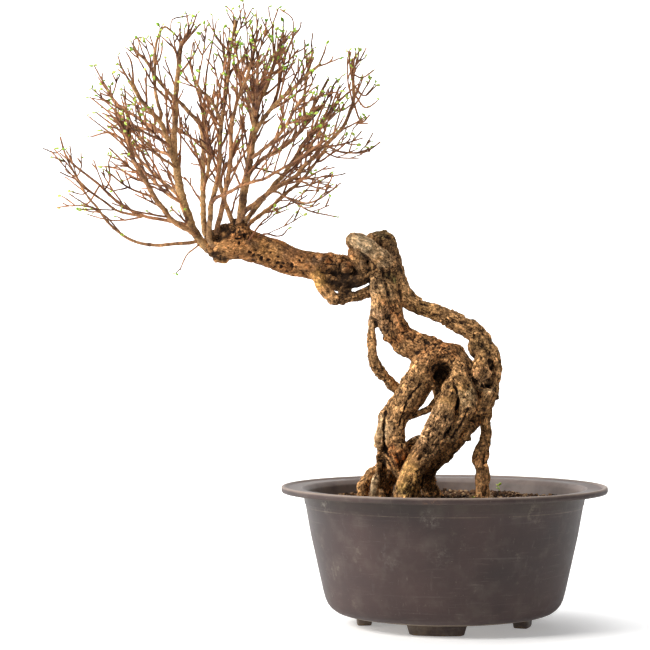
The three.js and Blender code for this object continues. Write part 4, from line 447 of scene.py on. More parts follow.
# Limbs of the crown: name, CAD node, limb that it grows from, radius at both ends, route
LIMBS = [
    ("left_foot", "branch_far_left", None, (4, 3.4), [
        (-195.5, 0, 320.5), (-201.5, 0, 322.5), (-207.5, -0.5, 327.5), (-213.5, -1, 335.5),
        (-218, -1.5, 344.5), (-220.5, -2, 353), (-224, -2.5, 362), (-226.5, -3, 372.5),
        (-228.5, -3.5, 382), (-229.5, -4, 392.5),
    ]),
    ("left_top", "branch_far_left", "left_foot", (2.8, 1.8), [
        (-229.5, -4, 391.5), (-231, -6, 402.5), (-231.5, -10, 419.5), (-230.5, -13, 432),
        (-230.5, -16.5, 444.5), (-229, -20, 457.5), (-227.5, -23.5, 470), (-226, -27, 481.5),
        (-225, -30, 491), (-222.5, -32, 497),
    ]),
    ("left_fork", "branch_far_left", "left_top", (2.6, 1.5), [
        (-231, -5, 394), (-234, -10, 404.5), (-236.5, -16, 415.5), (-241.5, -24.5, 428.5),
        (-246.5, -29, 434.5), (-252.5, -35.5, 441.5), (-257.5, -40.5, 447), (-260.5, -45, 452.5),
        (-265.5, -52, 461),
    ]),
    ("left_reach_high", "branch_far_left", "left_foot", (1.7, 0.8), [
        (-216, -2, 339), (-222, -1.5, 343.5), (-233, -0.5, 346.5), (-244.5, 0.5, 348.5),
        (-259, 2, 351.5), (-271.5, 3.5, 357.5), (-283.5, 5, 365.5), (-298.5, 7.5, 379.5),
        (-317, 10.5, 394), (-326, 11.5, 403), (-332, 14, 420.5),
    ]),
    ("left_reach_middle", "branch_far_left", "left_reach_high", (1.2, 0.8), [
        (-257.5, 3, 351), (-271, -0.5, 353), (-282.5, -4, 356.5), (-291, -7, 363),
        (-299, -10.5, 368.5), (-310.5, -15.5, 378.5), (-316, -19.5, 387), (-321.5, -24, 398.5),
    ]),
    ("left_reach_low", "branch_far_left", "left_foot", (1.7, 0.8), [
        (-210.5, -4, 330.5), (-218.5, -4, 328), (-228.5, -4, 327.5), (-248.5, -4, 326),
        (-266.5, -4, 329.5), (-278.5, -4, 336.5), (-289.5, -4, 346.5), (-298.5, -4, 359),
        (-304, -4, 365), (-312, -4, 377), (-316, -4, 385.5),
    ]),
    ("left_front", "branch_far_left", "left_foot", (2.4, 1.9), [
        (-212.5, -4, 333), (-219.5, -11.5, 339), (-225.5, -16, 342), (-233.5, -22.5, 347.5),
        (-239, -28.5, 355.5), (-245, -35, 363), (-252, -44, 376.5), (-258, -51.5, 387),
        (-262, -57, 395), (-264, -61.5, 402.5), (-266, -68, 413.5),
    ]),
    ("left_rear", "branch_far_left", "left_foot", (1.9, 1.2), [
        (-222.5, -3, 359), (-227, 10.5, 366.5), (-235, 24, 375), (-249.5, 42.5, 387),
        (-262, 58, 399.5), (-269, 66.5, 406.5), (-274, 72, 411),
    ]),
    ("left_middle", "branch_far_left", "left_foot", (1.7, 1), [
        (-223.5, -3, 362.5), (-229, 0, 365), (-237, 6.5, 369.5), (-245.5, 14, 377),
        (-254, 23, 385.5), (-261.5, 31.5, 393), (-266.5, 38, 399.5),
    ]),
    ("left_high_a", "branch_far_left", "left_fork", (1.7, 1), [
        (-237, -16, 416), (-243.5, -12, 423), (-249.5, -8.5, 426.5), (-257, -3.5, 431),
        (-267.5, 4, 438.5), (-277.5, 11, 444.5), (-285, 17, 450.5), (-289.5, 23.5, 459),
        (-296.5, 32, 470),
    ]),
    ("left_high_b", "branch_far_left", "left_high_a", (1.4, 0.9), [
        (-241, -14, 422.5), (-247.5, -7, 424.5), (-254, 1, 425.5), (-265.5, 17, 429.5),
        (-276, 33, 436), (-290.5, 60, 449.5),
    ]),
    ("left_high_c", "branch_far_left", "left_fork", (1.5, 0.9), [
        (-235, -12, 409.5), (-241, -31, 414), (-249, -48.5, 416.5), (-253.5, -58.5, 418.5),
        (-259.5, -72, 421.5),
    ]),
    ("left_high_d", "branch_far_left", "left_fork", (1.5, 0.9), [
        (-232, -7, 400.5), (-238.5, 12, 405), (-245.5, 27, 408.5), (-258, 49.5, 414),
        (-267, 64.5, 417), (-274.5, 76, 420.5),
    ]),
    ("left_high_e", "branch_far_left", "left_foot", (1.4, 0.9), [
        (-230.5, -5, 390.5), (-234.5, -9, 395.5), (-240.5, -15.5, 399), (-248, -24.5, 405.5),
        (-253.5, -33, 411.5), (-258, -40, 416),
    ]),
    ("left_arch", "branch_far_left", "left_fork", (1.6, 0.8), [
        (-241.5, -28, 428), (-241.5, -26, 436.5), (-244.5, -23, 446), (-247, -19, 457.5),
        (-247.5, -15.5, 467.5), (-248, -8, 489), (-246, -1.5, 505), (-240.5, 2.5, 514.5),
        (-235, 5.5, 511), (-230.5, 8, 507),
    ]),
    ("left_droop", "branch_far_left", "left_foot", (0.8, 0.5), [
        (-209, -3, 329), (-213, -4, 324.5), (-221, -6, 317.5), (-226.5, -9, 305.5),
        (-229, -10, 303),
    ]),
    ("inner_main", "branch_left", None, (2.6, 1.9), [
        (-193, 7.5, 326.5), (-200, 9.5, 329.5), (-206, 13, 336.5), (-208, 19.5, 350.5),
        (-209, 28.5, 367.5), (-209.5, 36, 381), (-210, 47.5, 399.5), (-210, 56.5, 413.5),
        (-211, 65.5, 427.5), (-210.5, 72, 437), (-211, 84, 454.5),
    ]),
    ("inner_strand", "branch_left", "inner_main", (1.9, 1.2), [
        (-209.5, 34, 376), (-206.5, 31.5, 384.5), (-205, 29, 391), (-203.5, 25, 401.5),
        (-204.5, 22, 409),
    ]),
    ("inner_left", "branch_left", "inner_main", (2.1, 0.9), [
        (-211, 66, 423), (-212.5, 64, 432), (-215.5, 62, 439), (-222, 60, 445),
        (-228.5, 57, 452.5), (-238.5, 53, 461), (-249.5, 47.5, 473.5), (-260.5, 40.5, 490.5),
        (-266.5, 37.5, 496), (-271.5, 34, 504.5),
    ]),
    ("inner_thin", "branch_left", "inner_main", (1, 0.7), [
        (-210, 48, 398.5), (-213, 49.5, 403), (-218, 51.5, 408.5), (-224.5, 55, 418),
        (-233, 60, 429),
    ]),
    ("slender_main", "branch_centre_left", None, (2.5, 1), [
        (-189.5, -10.5, 325), (-197.5, -11, 325.5), (-201, -11, 330), (-201.5, -12, 339),
        (-200.5, -12.5, 349), (-200, -13, 359), (-197.5, -14, 368.5), (-195, -14.5, 378),
        (-193, -15.5, 388), (-192, -16.5, 397.5), (-192, -17, 407.5), (-191, -18.5, 425.5),
        (-189, -20, 439.5), (-186, -21.5, 457.5), (-183.5, -23.5, 481.5), (-182, -25, 495),
        (-178, -27, 516),
    ]),
    ("slender_left", "branch_centre_left", "slender_main", (1.6, 1), [
        (-191.5, -20, 428.5), (-193.5, -34.5, 437.5), (-199, -50, 447.5), (-205.5, -60.5, 452.5),
        (-209.5, -70, 459),
    ]),
    ("slender_fork", "branch_centre_left", "slender_main", (1.4, 0.8), [
        (-185, -23, 465.5), (-182.5, -20, 473), (-176.5, -14.5, 481), (-167.5, -6, 492.5),
    ]),
    ("slender_side", "branch_centre_left", "slender_main", (1.6, 0.9), [
        (-199.5, -12, 361.5), (-194.5, -21.5, 366), (-186.5, -29, 368.5), (-172.5, -40.5, 375),
        (-161, -49, 378), (-153.5, -54, 379.5), (-145.5, -59.5, 383.5), (-134, -67.5, 389.5),
        (-125.5, -73, 394), (-117.5, -78.5, 399.5), (-103, -88, 408.5),
    ]),
    ("middle_main", "branch_centre", None, (2.5, 1.1), [
        (-189, -3, 324.5), (-194, -4.5, 329.5), (-195, -7, 339.5), (-192.5, -9.5, 349),
        (-190, -12.5, 359), (-188, -15.5, 368.5), (-186, -18.5, 377.5), (-183.5, -23, 391),
        (-182, -27.5, 403.5), (-181.5, -34.5, 424), (-178.5, -40, 437.5), (-175.5, -43.5, 447.5),
        (-170.5, -48, 458), (-165, -54.5, 474), (-161.5, -60, 486.5),
    ]),
    ("olive_stub", "branch_stub", None, (2.4, 1.7), [
        (-180.5, 11, 336.5), (-183.5, 15, 349), (-188, 19.5, 360), (-191, 23.5, 369),
        (-193, 27, 377), (-195, 30, 384.5),
    ]),
    ("upright_main", "branch_upright", None, (3.8, 2.5), [
        (-175.5, 0, 341), (-174.5, 0.5, 351), (-173.5, 1.5, 362.5), (-172, 2.5, 373),
        (-169.5, 4, 386), (-168, 5, 396.5), (-166.5, 6, 407), (-165, 7, 416.5), (-163, 8.5, 431.5),
        (-162.5, 10, 442.5),
    ]),
    ("upright_a", "branch_upright", "upright_main", (2.2, 1.5), [
        (-163.5, 9, 435.5), (-161.5, 11.5, 444.5), (-158, 14.5, 454.5), (-153, 19, 465),
        (-149.5, 23.5, 477), (-146, 27, 487), (-142.5, 32, 499),
    ]),
    ("upright_b", "branch_upright", "upright_a", (1.5, 1.2), [
        (-163, 9, 438), (-163.5, -5, 445.5), (-163.5, -26, 453.5),
    ]),
    ("upright_c", "branch_upright", "upright_a", (1.7, 1), [
        (-163.5, 9, 434.5), (-161, -12, 444.5), (-159.5, -41, 461), (-158, -66, 476),
    ]),
    ("upright_d", "branch_upright", "upright_main", (1.7, 1.3), [
        (-164, 8, 431), (-167, 33.5, 444), (-169.5, 46.5, 452.5), (-171, 66, 467),
    ]),
    ("upright_tip", "branch_upright", "upright_a", (1.1, 0.6), [
        (-146, 27, 486), (-147, 24.5, 494), (-148, 18, 511), (-147.5, 15, 518.5), (-143, 9, 530.5),
    ]),
    ("upright_rear_main", "branch_upright", "upright_main", (2, 1.5), [
        (-168, 3, 387.5), (-164.5, 9, 393), (-160.5, 14, 398), (-155.5, 19.5, 402.5),
        (-145, 28.5, 409.5), (-134, 38, 417.5), (-127, 45, 425), (-121.5, 50.5, 431.5),
        (-119, 56, 440),
    ]),
    ("upright_rear_left", "branch_upright", "upright_rear_main", (1.5, 1), [
        (-119.5, 56, 438.5), (-121, 53, 448), (-120.5, 49, 459.5), (-119, 44, 471.5),
        (-117.5, 40.5, 480), (-114.5, 36, 489), (-113.5, 32, 497.5),
    ]),
    ("upright_rear_right", "branch_upright", "upright_rear_main", (1.5, 1.1), [
        (-120, 56, 435.5), (-116, 55, 444.5), (-112, 54, 452), (-107.5, 52.5, 460),
        (-99.5, 50, 475),
    ]),
    ("upright_low_fork", "branch_upright", "upright_main", (1.7, 1.2), [
        (-166.5, 6, 400), (-161.5, -4, 403.5), (-154.5, -14.5, 408), (-146.5, -26, 413.5),
        (-136, -42, 424), (-131.5, -51, 431), (-128, -58, 437), (-122.5, -68, 444),
    ]),
    ("upright_slanting", "branch_upright", "upright_main", (2, 1.2), [
        (-164, 9, 422), (-161, 7, 427), (-156, 4, 434.5), (-149.5, -0.5, 442.5), (-141, -6, 450.5),
        (-132.5, -11, 457.5), (-124.5, -16, 464), (-117.5, -20.5, 470.5), (-106.5, -28, 478.5),
    ]),
    ("upright_slanting_top", "branch_upright", "upright_slanting", (1.6, 0.9), [
        (-153.5, 3, 438), (-148, 3.5, 445.5), (-143, 5, 459.5), (-140.5, 6, 473.5),
        (-138, 7.5, 484.5), (-136, 8, 492.5), (-131, 9.5, 504), (-128.5, 10, 510),
    ]),
    ("upright_twig", "branch_upright", "upright_main", (0.9, 0.7), [
        (-169, 2, 390), (-163, 6.5, 393), (-151.5, 10, 390.5), (-142, 12.5, 388.5),
        (-132, 14.5, 385), (-121.5, 16.5, 381.5), (-112, 18.5, 377.5), (-101.5, 20, 375),
    ]),
    ("front_right_main", "branch_right_front", None, (2.3, 1.2), [
        (-179, -9.5, 340), (-171.5, -10, 354), (-164, -10, 360), (-156.5, -10.5, 366),
        (-147, -11, 373), (-135, -11.5, 380), (-127, -11.5, 385), (-121, -12, 392.5),
        (-112.5, -12.5, 400.5), (-106.5, -12.5, 408), (-100, -13, 413), (-93, -13.5, 420),
        (-87, -14, 426.5), (-82, -14, 437.5), (-78, -14.5, 449.5), (-78.5, -15.5, 467.5),
        (-79.5, -16, 481),
    ]),
    ("front_right_twig_a", "branch_right_front", "front_right_main", (1, 0.7), [
        (-148.5, -8, 372), (-142.5, -10.5, 371), (-137.5, -13.5, 367.5), (-128, -18.5, 364),
        (-118, -24.5, 361), (-108.5, -30.5, 363.5), (-98.5, -38, 369.5),
    ]),
    ("front_right_twig_b", "branch_right_front", "front_right_twig_a", (0.9, 0.6), [
        (-138, -16, 368), (-133, -18.5, 365), (-126, -22, 360.5), (-115, -29, 354),
        (-101.5, -37, 350.5), (-93, -42, 348.5),
    ]),
    ("front_right_right", "branch_right_front", "front_right_main", (1, 0.7), [
        (-103.5, -10, 410.5), (-98, -9.5, 409.5), (-92, -9.5, 406.5), (-81, -8.5, 405),
        (-67.5, -7.5, 406), (-55, -6, 414.5),
    ]),
    ("mid_right_main", "branch_right_middle", None, (2.3, 1.7), [
        (-176, 7.5, 334.5), (-170, 16.5, 349.5), (-164, 21, 357.5), (-157.5, 25.5, 366.5),
        (-152, 28.5, 373), (-145.5, 32.5, 382), (-138.5, 36, 389), (-132.5, 40, 399),
        (-127, 43, 406.5), (-123.5, 46, 414.5), (-118.5, 48, 421), (-113, 51, 428.5),
        (-103.5, 55, 438), (-97.5, 58, 446.5), (-90, 62, 457.5),
    ]),
    ("mid_right_twig", "branch_right_middle", "mid_right_main", (0.9, 0.6), [
        (-123.5, 50, 413), (-118.5, 49.5, 414.5), (-112, 49, 413), (-101.5, 47.5, 409.5),
        (-92, 46.5, 405.5), (-80.5, 45, 404.5), (-72.5, 44, 404.5),
    ]),
    ("rear_right_main", "branch_right_back", None, (2, 1.2), [
        (-174, 13.5, 332), (-168.5, 26.5, 345.5), (-159, 35, 354), (-148, 43.5, 363),
        (-139, 50.5, 372.5), (-127, 58.5, 382.5), (-120, 64, 390), (-113, 69.5, 399.5),
        (-107, 74, 407.5), (-101.5, 78, 414),
    ]),
    ("rear_right_twig", "branch_right_back", "rear_right_main", (1, 0.7), [
        (-110.5, 72, 402.5), (-106, 70.5, 404), (-98.5, 67, 409), (-90, 62.5, 414),
        (-80, 56, 422.5),
    ]),
    ("sprout_a", "sprout_upper", None, (0.9, 0.6), [
        (-167.5, -12, 330), (-163, -12.5, 336.5), (-159, -13.5, 342), (-154.5, -14.5, 347),
        (-150, -15, 350), (-146, -16, 356.5),
    ]),
    ("sprout_b", "sprout_lower", None, (0.9, 0.6), [
        (-161.5, -9, 327.5), (-159, -9.5, 333.5), (-152, -10.5, 335.5), (-144, -11.5, 333.5),
        (-138.5, -12.5, 334.5), (-135, -13, 338.5),
    ]),
]

# Twigs that draw the outline of the crown: limb, share of its length, route
TIP_TWIGS = [
    ("left_reach_high", 0.93, [(-335.5, 11.5, 406.5), (-346.5, 10, 410.5)]),
    ("left_reach_high", 0.62, [(-308.5, 12, 362.5), (-323, 17, 361), (-335, 22, 360)]),
    ("left_reach_middle", 0.62, [(-309, -16.5, 369), (-317, -20, 370.5)]),
    ("left_reach_high", 0.58, [(-288, 5.5, 382.5), (-289, 5, 397.5), (-287, 4, 402.5)]),
    ("left_reach_middle", 0.8, [(-310, -22, 390), (-309.5, -26, 403.5)]),
    ("left_reach_low", 0.97, [(-319.5, -6, 399), (-321, -8, 411)]),
    ("left_reach_low", 0.99, [(-325, -1, 390), (-325.5, 2, 397)]),
    ("left_front", 0.99, [(-278, -63.5, 423), (-292.5, -60, 434)]),
    ("left_front", 0.97, [(-274, -71, 427), (-286.5, -76, 432.5)]),
    ("left_front", 0.985, [(-280, -66.5, 432), (-296.5, -66, 446)]),
    ("left_front", 0.96, [(-272.5, -60, 428.5), (-279.5, -54, 439)]),
    ("left_front", 0.94, [(-282, -56, 418), (-298, -48, 415.5)]),
    ("left_rear", 0.98, [(-292.5, 68.5, 427), (-312.5, 66, 443)]),
    ("left_high_b", 0.97, [(-298, 55, 456), (-308.5, 52, 458)]),
    ("left_high_a", 0.97, [(-300, 28, 476.5), (-303, 26, 482.5)]),
    ("left_fork", 0.97, [(-273, -45, 473.5), (-276.5, -40, 483)]),
    ("left_fork", 0.93, [(-264.5, -52, 477.5), (-268.5, -56, 485.5)]),
    ("inner_left", 0.97, [(-269.5, 28.5, 506.5), (-262.5, 22, 508)]),
    ("left_arch", 0.93, [(-234.5, 9.5, 521.5), (-222, 14, 525.5)]),
    ("left_top", 0.98, [(-218.5, -25.5, 508), (-220, -20, 521.5)]),
    ("left_top", 0.95, [(-216.5, -34, 505), (-210.5, -38, 519.5)]),
    ("inner_left", 0.72, [(-247.5, 42, 492.5), (-245, 40, 508)]),
    ("slender_main", 0.98, [(-180.5, -23.5, 522), (-185, -20, 527.5)]),
    ("slender_fork", 0.97, [(-169.5, -2.5, 511), (-173, 2, 535)]),
    ("middle_main", 0.97, [(-159.5, -49, 504.5), (-160.5, -40, 523)]),
    ("upright_slanting_top", 0.97, [(-131, 13, 523.5), (-141.5, 16, 531.5)]),
    ("upright_slanting_top", 0.95, [(-124, 6, 514), (-123, 2, 518.5)]),
    ("upright_rear_left", 0.98, [(-114, 28.5, 504.5), (-113, 24, 512)]),
    ("upright_slanting", 0.98, [(-103, -23.5, 489.5), (-101.5, -20, 495)]),
    ("upright_slanting", 0.96, [(-98, -29, 480.5), (-95.5, -32, 485)]),
    ("front_right_main", 0.97, [(-72.5, -10, 484.5), (-67, -4, 495.5)]),
    ("front_right_main", 0.95, [(-71, -20, 468), (-61.5, -24, 473.5)]),
    ("front_right_main", 0.9, [(-69, -11.5, 453.5), (-59.5, -8, 461.5)]),
    ("front_right_main", 0.86, [(-67.5, -18.5, 442.5), (-58, -22, 448)]),
    ("front_right_main", 0.82, [(-71, -22.5, 430), (-64.5, -30, 435.5)]),
    ("rear_right_twig", 0.97, [(-77, 50.5, 431.5), (-69, 44, 438)]),
    ("mid_right_main", 0.98, [(-81, 55.5, 464), (-73, 50, 470.5)]),
    ("mid_right_main", 0.93, [(-86.5, 62.5, 448.5), (-78.5, 66, 454.5)]),
    ("upright_twig", 0.8, [(-105, 13, 386.5), (-97, 8, 385.5)]),
    ("front_right_twig_a", 0.97, [(-95, -39.5, 372), (-92.5, -42, 376)]),
    ("slender_left", 0.95, [(-204.5, -54, 483), (-202, -40, 508.5)]),
    ("slender_left", 0.93, [(-214, -64.5, 476), (-212, -62, 493)]),
    ("inner_main", 0.97, [(-208, 71, 483.5), (-202, 60.5, 510.5), (-198.5, 50, 525)]),
    ("inner_main", 0.95, [(-218, 79, 470), (-223.5, 78, 489.5)]),
    ("middle_main", 0.78, [(-165.5, -42, 472), (-155.5, -38, 494.5), (-152, -34, 512)]),
    ("upright_c", 0.96, [(-161, -57.5, 493.5), (-165, -52, 507.5)]),
    ("upright_b", 0.95, [(-166.5, -18, 469.5), (-169, -12, 491)]),
    ("upright_low_fork", 0.96, [(-115.5, -61.5, 454.5), (-110, -58, 467)]),
    ("left_high_c", 0.96, [(-271, -68, 426), (-279, -66, 434.5)]),
    ("left_high_d", 0.96, [(-284.5, 71.5, 424.5), (-294.5, 70, 433.5)]),
    ("slender_side", 0.97, [(-94, -82, 417), (-87.5, -78, 428)]),
]


# Curves and tubes

def unit(v):
    """The direction of v."""
    return v / max(np.linalg.norm(v), 1e-9)


def spline(points, step):
    """Centripetal curve through the points. Every column is eased, the first three set the pace."""
    p = np.asarray(points, float)
    p = np.vstack([2 * p[0] - p[1], p, 2 * p[-1] - p[-2]])
    out = []
    for i in range(len(p) - 3):
        p0, p1, p2, p3 = p[i:i + 4]
        gaps = np.linalg.norm(np.diff(p[i:i + 4, :3], axis=0), axis=1)
        d0, d1, d2 = np.maximum(gaps, 1e-6) ** 0.5
        t1 = ((p1 - p0) / d0 - (p2 - p0) / (d0 + d1) + (p2 - p1) / d1) * d1
        t2 = ((p2 - p1) / d1 - (p3 - p1) / (d1 + d2) + (p3 - p2) / d2) * d1
        count = max(1, int(round(np.linalg.norm((p2 - p1)[:3]) / step)))
        t = (np.arange(count) / count)[:, None]
        out.append(p1 + t1 * t + (3 * (p2 - p1) - 2 * t1 - t2) * t ** 2 + (2 * (p1 - p2) + t1 + t2) * t ** 3)
    out.append(p[-2][None])
    return np.vstack(out)


def lengths_of(path):
    """Length along the path up to each point."""
    return np.concatenate([[0], np.cumsum(np.linalg.norm(np.diff(path[:, :3], axis=0), axis=1))])


def at_share(path, share):
    """Point, radius and direction at a share of a path's length."""
    s = lengths_of(path)
    target = share * s[-1]
    here = np.array([np.interp(target, s, path[:, k]) for k in range(4)])
    i = min(max(int(np.searchsorted(s, target)), 1), len(path) - 1)
    return here[:3], here[3], unit(path[i, :3] - path[i - 1, :3])


def frames(path):
    """Tangent and two crosswise directions at each point, turned as little as possible."""
    p = path[:, :3]
    t = np.gradient(p, axis=0)
    t /= np.maximum(np.linalg.norm(t, axis=1), 1e-9)[:, None]
    start = np.array([0, 0, 1.0]) if abs(t[0, 2]) < 0.9 else np.array([1.0, 0, 0])
    u = np.empty_like(p)
    u[0] = unit(np.cross(start, t[0]))
    for i in range(1, len(p)):
        u[i] = unit(u[i - 1] - t[i] * u[i - 1].dot(t[i]))
    return t, u, np.cross(t, u)


class Shape:
    """Gathers vertices, faces and one value a vertex."""

    def __init__(self):
        self.verts, self.faces, self.values, self.count = [], [], [], 0

    def add(self, verts, faces, value=0.0):
        self.verts.append(verts)
        self.faces += [tuple(self.count + i for i in face) for face in faces]
        self.values.append(np.broadcast_to(value, len(verts)))
        self.count += len(verts)

    def points(self):
        return np.vstack(self.verts)


def walls(rings, around, flip=False):
    """Faces between rings of vertices that follow each other."""
    faces = []
    for a in range(0, (rings - 1) * around, around):
        for j in range(around):
            k = (j + 1) % around
            face = (a + j, a + k, a + around + k, a + around + j)
            faces.append((face[0], *face[:0:-1]) if flip else face)
    return faces


def fan(point, first, around, flip=False):
    """Faces from one point to the ring that starts at vertex first."""
    pairs = [(first + j, first + (j + 1) % around) for j in range(around)]
    return [(point, b, a) if flip else (point, a, b) for a, b in pairs]


def closed_rings(rings, around, flip=False):
    """Faces of a closed skin over rings of vertices, with a point after them for each end."""
    count = rings * around
    first_end = fan(count, 0, around, not flip)
    last_end = fan(count + 1, count - around, around, flip)
    return walls(rings, around, flip) + first_end + last_end


def tube(shape, path, sides, relief=None, value=0.0):
    """A closed tube along path, whose fourth column is the radius."""
    t, u, w = frames(path)
    s = lengths_of(path)
    angle = np.arange(sides) * 2 * math.pi / sides
    radius = path[:, 3][:, None] * np.ones(sides)
    if relief is not None:
        radius = radius * relief(angle[None, :], s[:, None])
    ring = u[:, None] * np.cos(angle)[None, :, None] + w[:, None] * np.sin(angle)[None, :, None]
    verts = (path[:, None, :3] + ring * radius[..., None]).reshape(-1, 3)
    foot = path[0, :3] - t[0] * path[0, 3] * 0.3
    tip = path[-1, :3] + t[-1] * (path[-1, 3] * 0.5)
    shape.add(np.vstack([verts, foot, tip]), closed_rings(len(path), sides), value)


def around_axis(outline, steps):
    """Rings of points around the upright axis, one for each [radius, height]."""
    angle = np.arange(steps) * 2 * math.pi / steps
    x = outline[:, :1] * np.cos(angle)
    y = outline[:, :1] * np.sin(angle)
    z = outline[:, 1:] * np.ones(steps)
    return np.stack([x, y, z], -1).reshape(-1, 3)


# Smooth noise in space, about -1 to 1

def hashed(cell, seed):
    """A fixed random value, -1 to 1, for each cell."""
    n = cell[..., 0] * 73856093 ^ cell[..., 1] * 19349663 ^ cell[..., 2] * 83492791 ^ (seed * 2654435761)
    n = (n ^ (n >> 13)) * 1274126177
    return ((n ^ (n >> 16)) & 0xFFFF) / 32767.5 - 1


def noise(p, seed=0):
    """Smooth noise, about -1 to 1."""
    base = np.floor(p).astype(np.int64)
    f = p - base
    f = f * f * (3 - 2 * f)
    total = 0
    for dx in (0, 1):
        for dy in (0, 1):
            for dz in (0, 1):
                weight = (f[..., 0] if dx else 1 - f[..., 0]) * (f[..., 1] if dy else 1 - f[..., 1])
                weight = weight * (f[..., 2] if dz else 1 - f[..., 2])
                total = total + weight * hashed(base + np.array([dx, dy, dz]), seed)
    return total


def noise_vector(p, size, shift, seed):
    """Three values of noise at each point."""
    return np.stack([noise(p / size + shift * k, seed + k) for k in range(3)], 1)


def layered(p, octaves, seed=0):
    """Noise with finer and weaker layers on top."""
    total = 0
    for k in range(octaves):
        total = total + noise(p * 2 ** k, seed + k) * 0.5 ** k
    return total


def plates(p, seed=0):
    """Irregular cells: distance to the nearest border, and a random value for each cell."""
    base = np.floor(p).astype(np.int64)
    first = np.full(len(p), 9.0)
    second = np.full(len(p), 9.0)
    tone = np.zeros(len(p))
    for dx in (-1, 0, 1):
        for dy in (-1, 0, 1):
            for dz in (-1, 0, 1):
                cell = base + np.array([dx, dy, dz])
                jitter = np.stack([hashed(cell, seed + k) for k in (1, 2, 3)], -1) * 0.45 + 0.5
                far = np.linalg.norm(cell + jitter - p, axis=1)
                closer = far < first
                second = np.where(closer, first, np.minimum(second, far))
                tone = np.where(closer, hashed(cell, seed + 4), tone)
                first = np.where(closer, far, first)
    return second - first, tone


def smoothstep(low, high, x):
    """Rises softly from 0 at low to 1 at high."""
    t = np.clip((x - low) / (high - low), 0, 1)
    return t * t * (3 - 2 * t)


# Objects

def to_world(points_mm):
    """Metres in the scene from millimetres."""
    return np.asarray(points_mm) * MM + AXIS


def make_object(name, verts_mm, faces, material, smooth=True):
    """An object of the scene from points in millimetres."""
    mesh = bpy.data.meshes.new(name)
    mesh.from_pydata(to_world(verts_mm).tolist(), [], faces)
    mesh.materials.append(material)
    if smooth:
        mesh.shade_smooth()
    obj = bpy.data.objects.new(name, mesh)
    bpy.context.scene.collection.objects.link(obj)
    return obj


def add_piece(obj, nodes):
    """Ties a piece to the body, and hides the solids that it replaces."""
    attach(obj, "root")
    if nodes:
        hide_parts(*nodes)


def shape_piece(name, shape, material, value_name, nodes, smooth=True):
    """A piece from a shape, whose values its material reads by value_name."""
    obj = make_object(name, shape.points(), shape.faces, material, smooth)
    store(obj, value_name, np.concatenate(shape.values))
    add_piece(obj, nodes)


def store(obj, name, values, kind="FLOAT"):
    """Keeps one value, vector or colour a vertex."""
    layer = obj.data.attributes.new(name, kind, "POINT")
    field = {"FLOAT": "value", "FLOAT_VECTOR": "vector", "FLOAT_COLOR": "color"}[kind]
    layer.data.foreach_set(field, np.asarray(values, np.float32).ravel())


def applied(obj):
    """The object's mesh with its modifiers worked in."""
    graph = bpy.context.evaluated_depsgraph_get()
    mesh = bpy.data.meshes.new_from_object(obj.evaluated_get(graph))
    obj.modifiers.clear()
    old = obj.data
    obj.data = mesh
    bpy.data.meshes.remove(old)


# Materials

def srgb(*levels):
    """Linear colour of an 8-bit screen colour."""
    shares = [level / 255 for level in levels]
    return tuple(c / 12.92 if c <= 0.04045 else ((c + 0.055) / 1.055) ** 2.4 for c in shares) + (1,)


